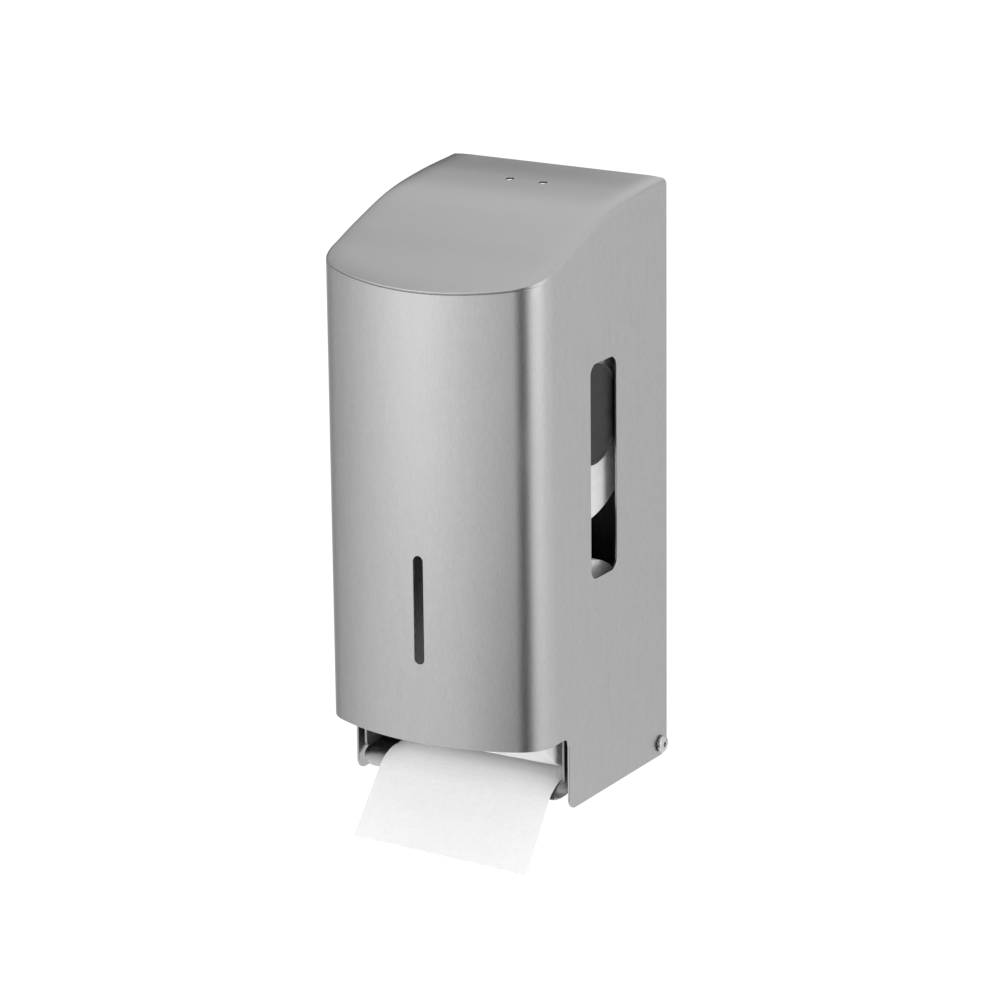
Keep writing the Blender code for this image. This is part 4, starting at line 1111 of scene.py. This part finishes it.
def makePivotScrew(word, side, part):
    tip, shank, under, head = part["tip"], part["shank"], part["under"], part["head"]
    top, flat, dome = under + part["height"], part["flat"], part["height"] - part["rim"]
    point, edge, lead = part["tipBevel"], part["underBevel"], part["socketBevel"]
    turns = [pi / 2 * index / part["domeSteps"] for index in range(part["domeSteps"] + 1)]
    profile = [(tip, 0), (tip, shank - point), (tip + point, shank), (under, shank), (under, head - edge)]
    profile += [(under + edge, head)]
    profile += [(top - dome * (1 - sin(t)), flat + (head - flat) * cos(t)) for t in turns]
    hexFrom = len(profile)
    floor, socket = top - part["socketDepth"], part["socket"]
    profile += [(top, socket + lead), (top - lead, socket), (floor, socket - part["socketTaper"])]
    profile += [(floor - point, 0)]

    def radiusAt(j, turn):
        along, r = profile[j]
        if hexFrom <= j < hexFrom + 3:
            r *= cos(pi / 6) / cos(turn % (pi / 3) - pi / 6)
        return r, side * along

    axis = (0, -part["axis"][0], part["axis"][1] + wallZero)
    points, faces = turnedMesh([(side * x, r) for x, r in profile], axis, part["segments"], radiusAt)
    piece = meshPiece("pivotScrew" + word, points, faces, [brightSteel], "chassis")
    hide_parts("pivot_screw_" + word.lower())


for word, side in (("Left", -1), ("Right", 1)):
    makePivotScrew(word, side, screw)
print("pivot screws made")


# Finishes of the carried-over pieces

carried = {
    chassisSteel: ["back_plate", "cheek_left", "cheek_right", "cover_catch"],
    brightSteel: [
        name for name in nodes
        if name.startswith(("pivot_nut", "stop_pin", "reserve_stop")) or "rivet" in name
    ] + ["latch_hook"],
    springSteelPaintedShade: ["latch_leaf"],
    nylonWhite: ["pivot_bush_left", "pivot_bush_right"],
}
for material, names in carried.items():
    for name in names:
        finishes = nodes[name].data.materials
        for index in range(len(finishes)):
            finishes[index] = material
        if not finishes:
            finishes.append(material)
print("carried-over pieces finished")


# Stage: pale floor, soft light, and the cards that the steel mirrors

stageSettings = {
    "floor": -1.1, "floorSize": 18, "floorColour": 0.2, "floorGlow": 0.9, "worldLight": 0.75,
    "aim": (0, -0.07, 0),
    "lamps": (
        ("leftSoftbox", -50, 1.35, 0.75, 1.6, 0.05, 0.9),
        ("rightSoftbox", 71, 1.35, 0.7, 0.9, -0.4, 4.8),
        ("overheadSoftbox", 20, 0.5, 1.2, 1.2, 1.6, 0.3),
        ("frontSoftbox", -22, 1.35, 1.6, 0.7, -0.13, 2.15),
    ),  # name, azimuth, distance, width, height, middle height, radiance
    "cards": (
        ("leftGlow", -25.7, 1.5, 1.9, 2.24, 0.565, 1.76, 1, 0.22),
        ("leftShade", -100, 1.5, 2.86, 3.2, 0.55, 0.45, 0.92, 0.02),
        ("frontShade", 46.5, 1.46, 1.34, 2.7, 0.3, 0.015, 0.79, 0.02),
        ("lowShade", 38, 1.42, 3, 1.02, -0.81, 0.02, 1, 1),
        ("rightGlow", 80.6, 1.5, 1.7, 2.54, 0.43, 1.78, 0.43, 0.66),
        ("sideShade", 163, 1.5, 0.68, 2.03, 0.154, 0.66, 0.05, 0.18),
        ("rearShade", 232.5, 1.6, 1.61, 1.31, 0.39, 0.07, 0.02, 0.73),
    ),  # the first six as above, then strength, and the soft share of the width and of the height
}


def facing(item, azimuth, distance, level, target):
    turn = radians(azimuth)
    item.location = (target[0] + sin(turn) * distance, target[1] - cos(turn) * distance, level)
    aim = Vector(target) - item.location
    if abs(aim.z) < 0.6 * aim.length:  # only what hangs well above the object tilts
        aim.z = 0
    item.rotation_euler = aim.to_track_quat("-Z", "Y").to_euler()


def flatPanel(name, width, height):
    data = bpy.data.meshes.new(name)
    a, b = width / 2, height / 2
    data.from_pydata([(-a, -b, 0), (a, -b, 0), (a, b, 0), (-a, b, 0)], [], [(0, 1, 2, 3)])
    panel = bpy.data.objects.new(name, data)
    scene.collection.objects.link(panel)
    material, bench, shader, where = newMaterial(name)
    bench.fill(shader, {"Roughness": 1, "Specular IOR Level": 0, "Emission Color": opaque(1)})
    data.materials.append(material)
    return panel, bench, shader, where


def feathered(bench, across, half, soft):
    share = bench.maths("DIVIDE", bench.maths("ABSOLUTE", across), half)
    return bench.remap(share, 1 - soft, 1, 1, 0, "SMOOTHSTEP")


def backgroundRays(bench):
    rays = bench.add("ShaderNodeLightPath")
    seen = bench.maths("MAXIMUM", rays.outputs["Is Camera Ray"], rays.outputs["Is Glossy Ray"])
    return bench.maths("MAXIMUM", seen, rays.outputs["Is Transmission Ray"])


def makeStage(look):
    world = bpy.data.worlds.new("studioWorld")
    world.use_nodes = True
    scene.world = world
    bench = NodeBench(world.node_tree)
    daylight = bench.remap(backgroundRays(bench), 0, 1, look["worldLight"], 1.0)
    bench.fill(world.node_tree.nodes["Background"], {"Color": opaque(1), "Strength": daylight})

    for name, azimuth, distance, width, height, level, radiance in look["lamps"]:
        data = bpy.data.lights.new(name, "AREA")
        data.shape, data.size, data.size_y = "RECTANGLE", width, height
        data.energy = radiance * pi * width * height
        lamp = bpy.data.objects.new(name, data)
        scene.collection.objects.link(lamp)
        facing(lamp, azimuth, distance, level, look["aim"])
        lamp.visible_camera = lamp.visible_glossy = False  # the cards stand for them in the steel

    for name, azimuth, distance, width, height, level, strength, softWidth, softHeight in look["cards"]:
        card, bench, shader, where = flatPanel(name, width, height)
        facing(card, azimuth, distance, level, look["aim"])
        card.visible_camera = card.visible_diffuse = False
        card.visible_shadow = card.visible_transmission = False
        spot = bench.add("ShaderNodeSeparateXYZ", {0: where}).outputs
        across = feathered(bench, spot["X"], width / 2, softWidth)
        upright = feathered(bench, spot["Y"], height / 2, softHeight)
        alpha = bench.times(across, upright)
        bench.fill(shader, {"Base Color": opaque(0), "Emission Strength": strength, "Alpha": alpha})

    floor, bench, shader, where = flatPanel("floor", look["floorSize"], look["floorSize"])
    floor.location.z = look["floor"]
    glow = bench.times(backgroundRays(bench), look["floorGlow"])
    bench.fill(shader, {"Base Color": opaque(look["floorColour"]), "Emission Strength": glow})


makeStage(stageSettings)
scene.view_settings.view_transform = "Standard"
print("stage made")
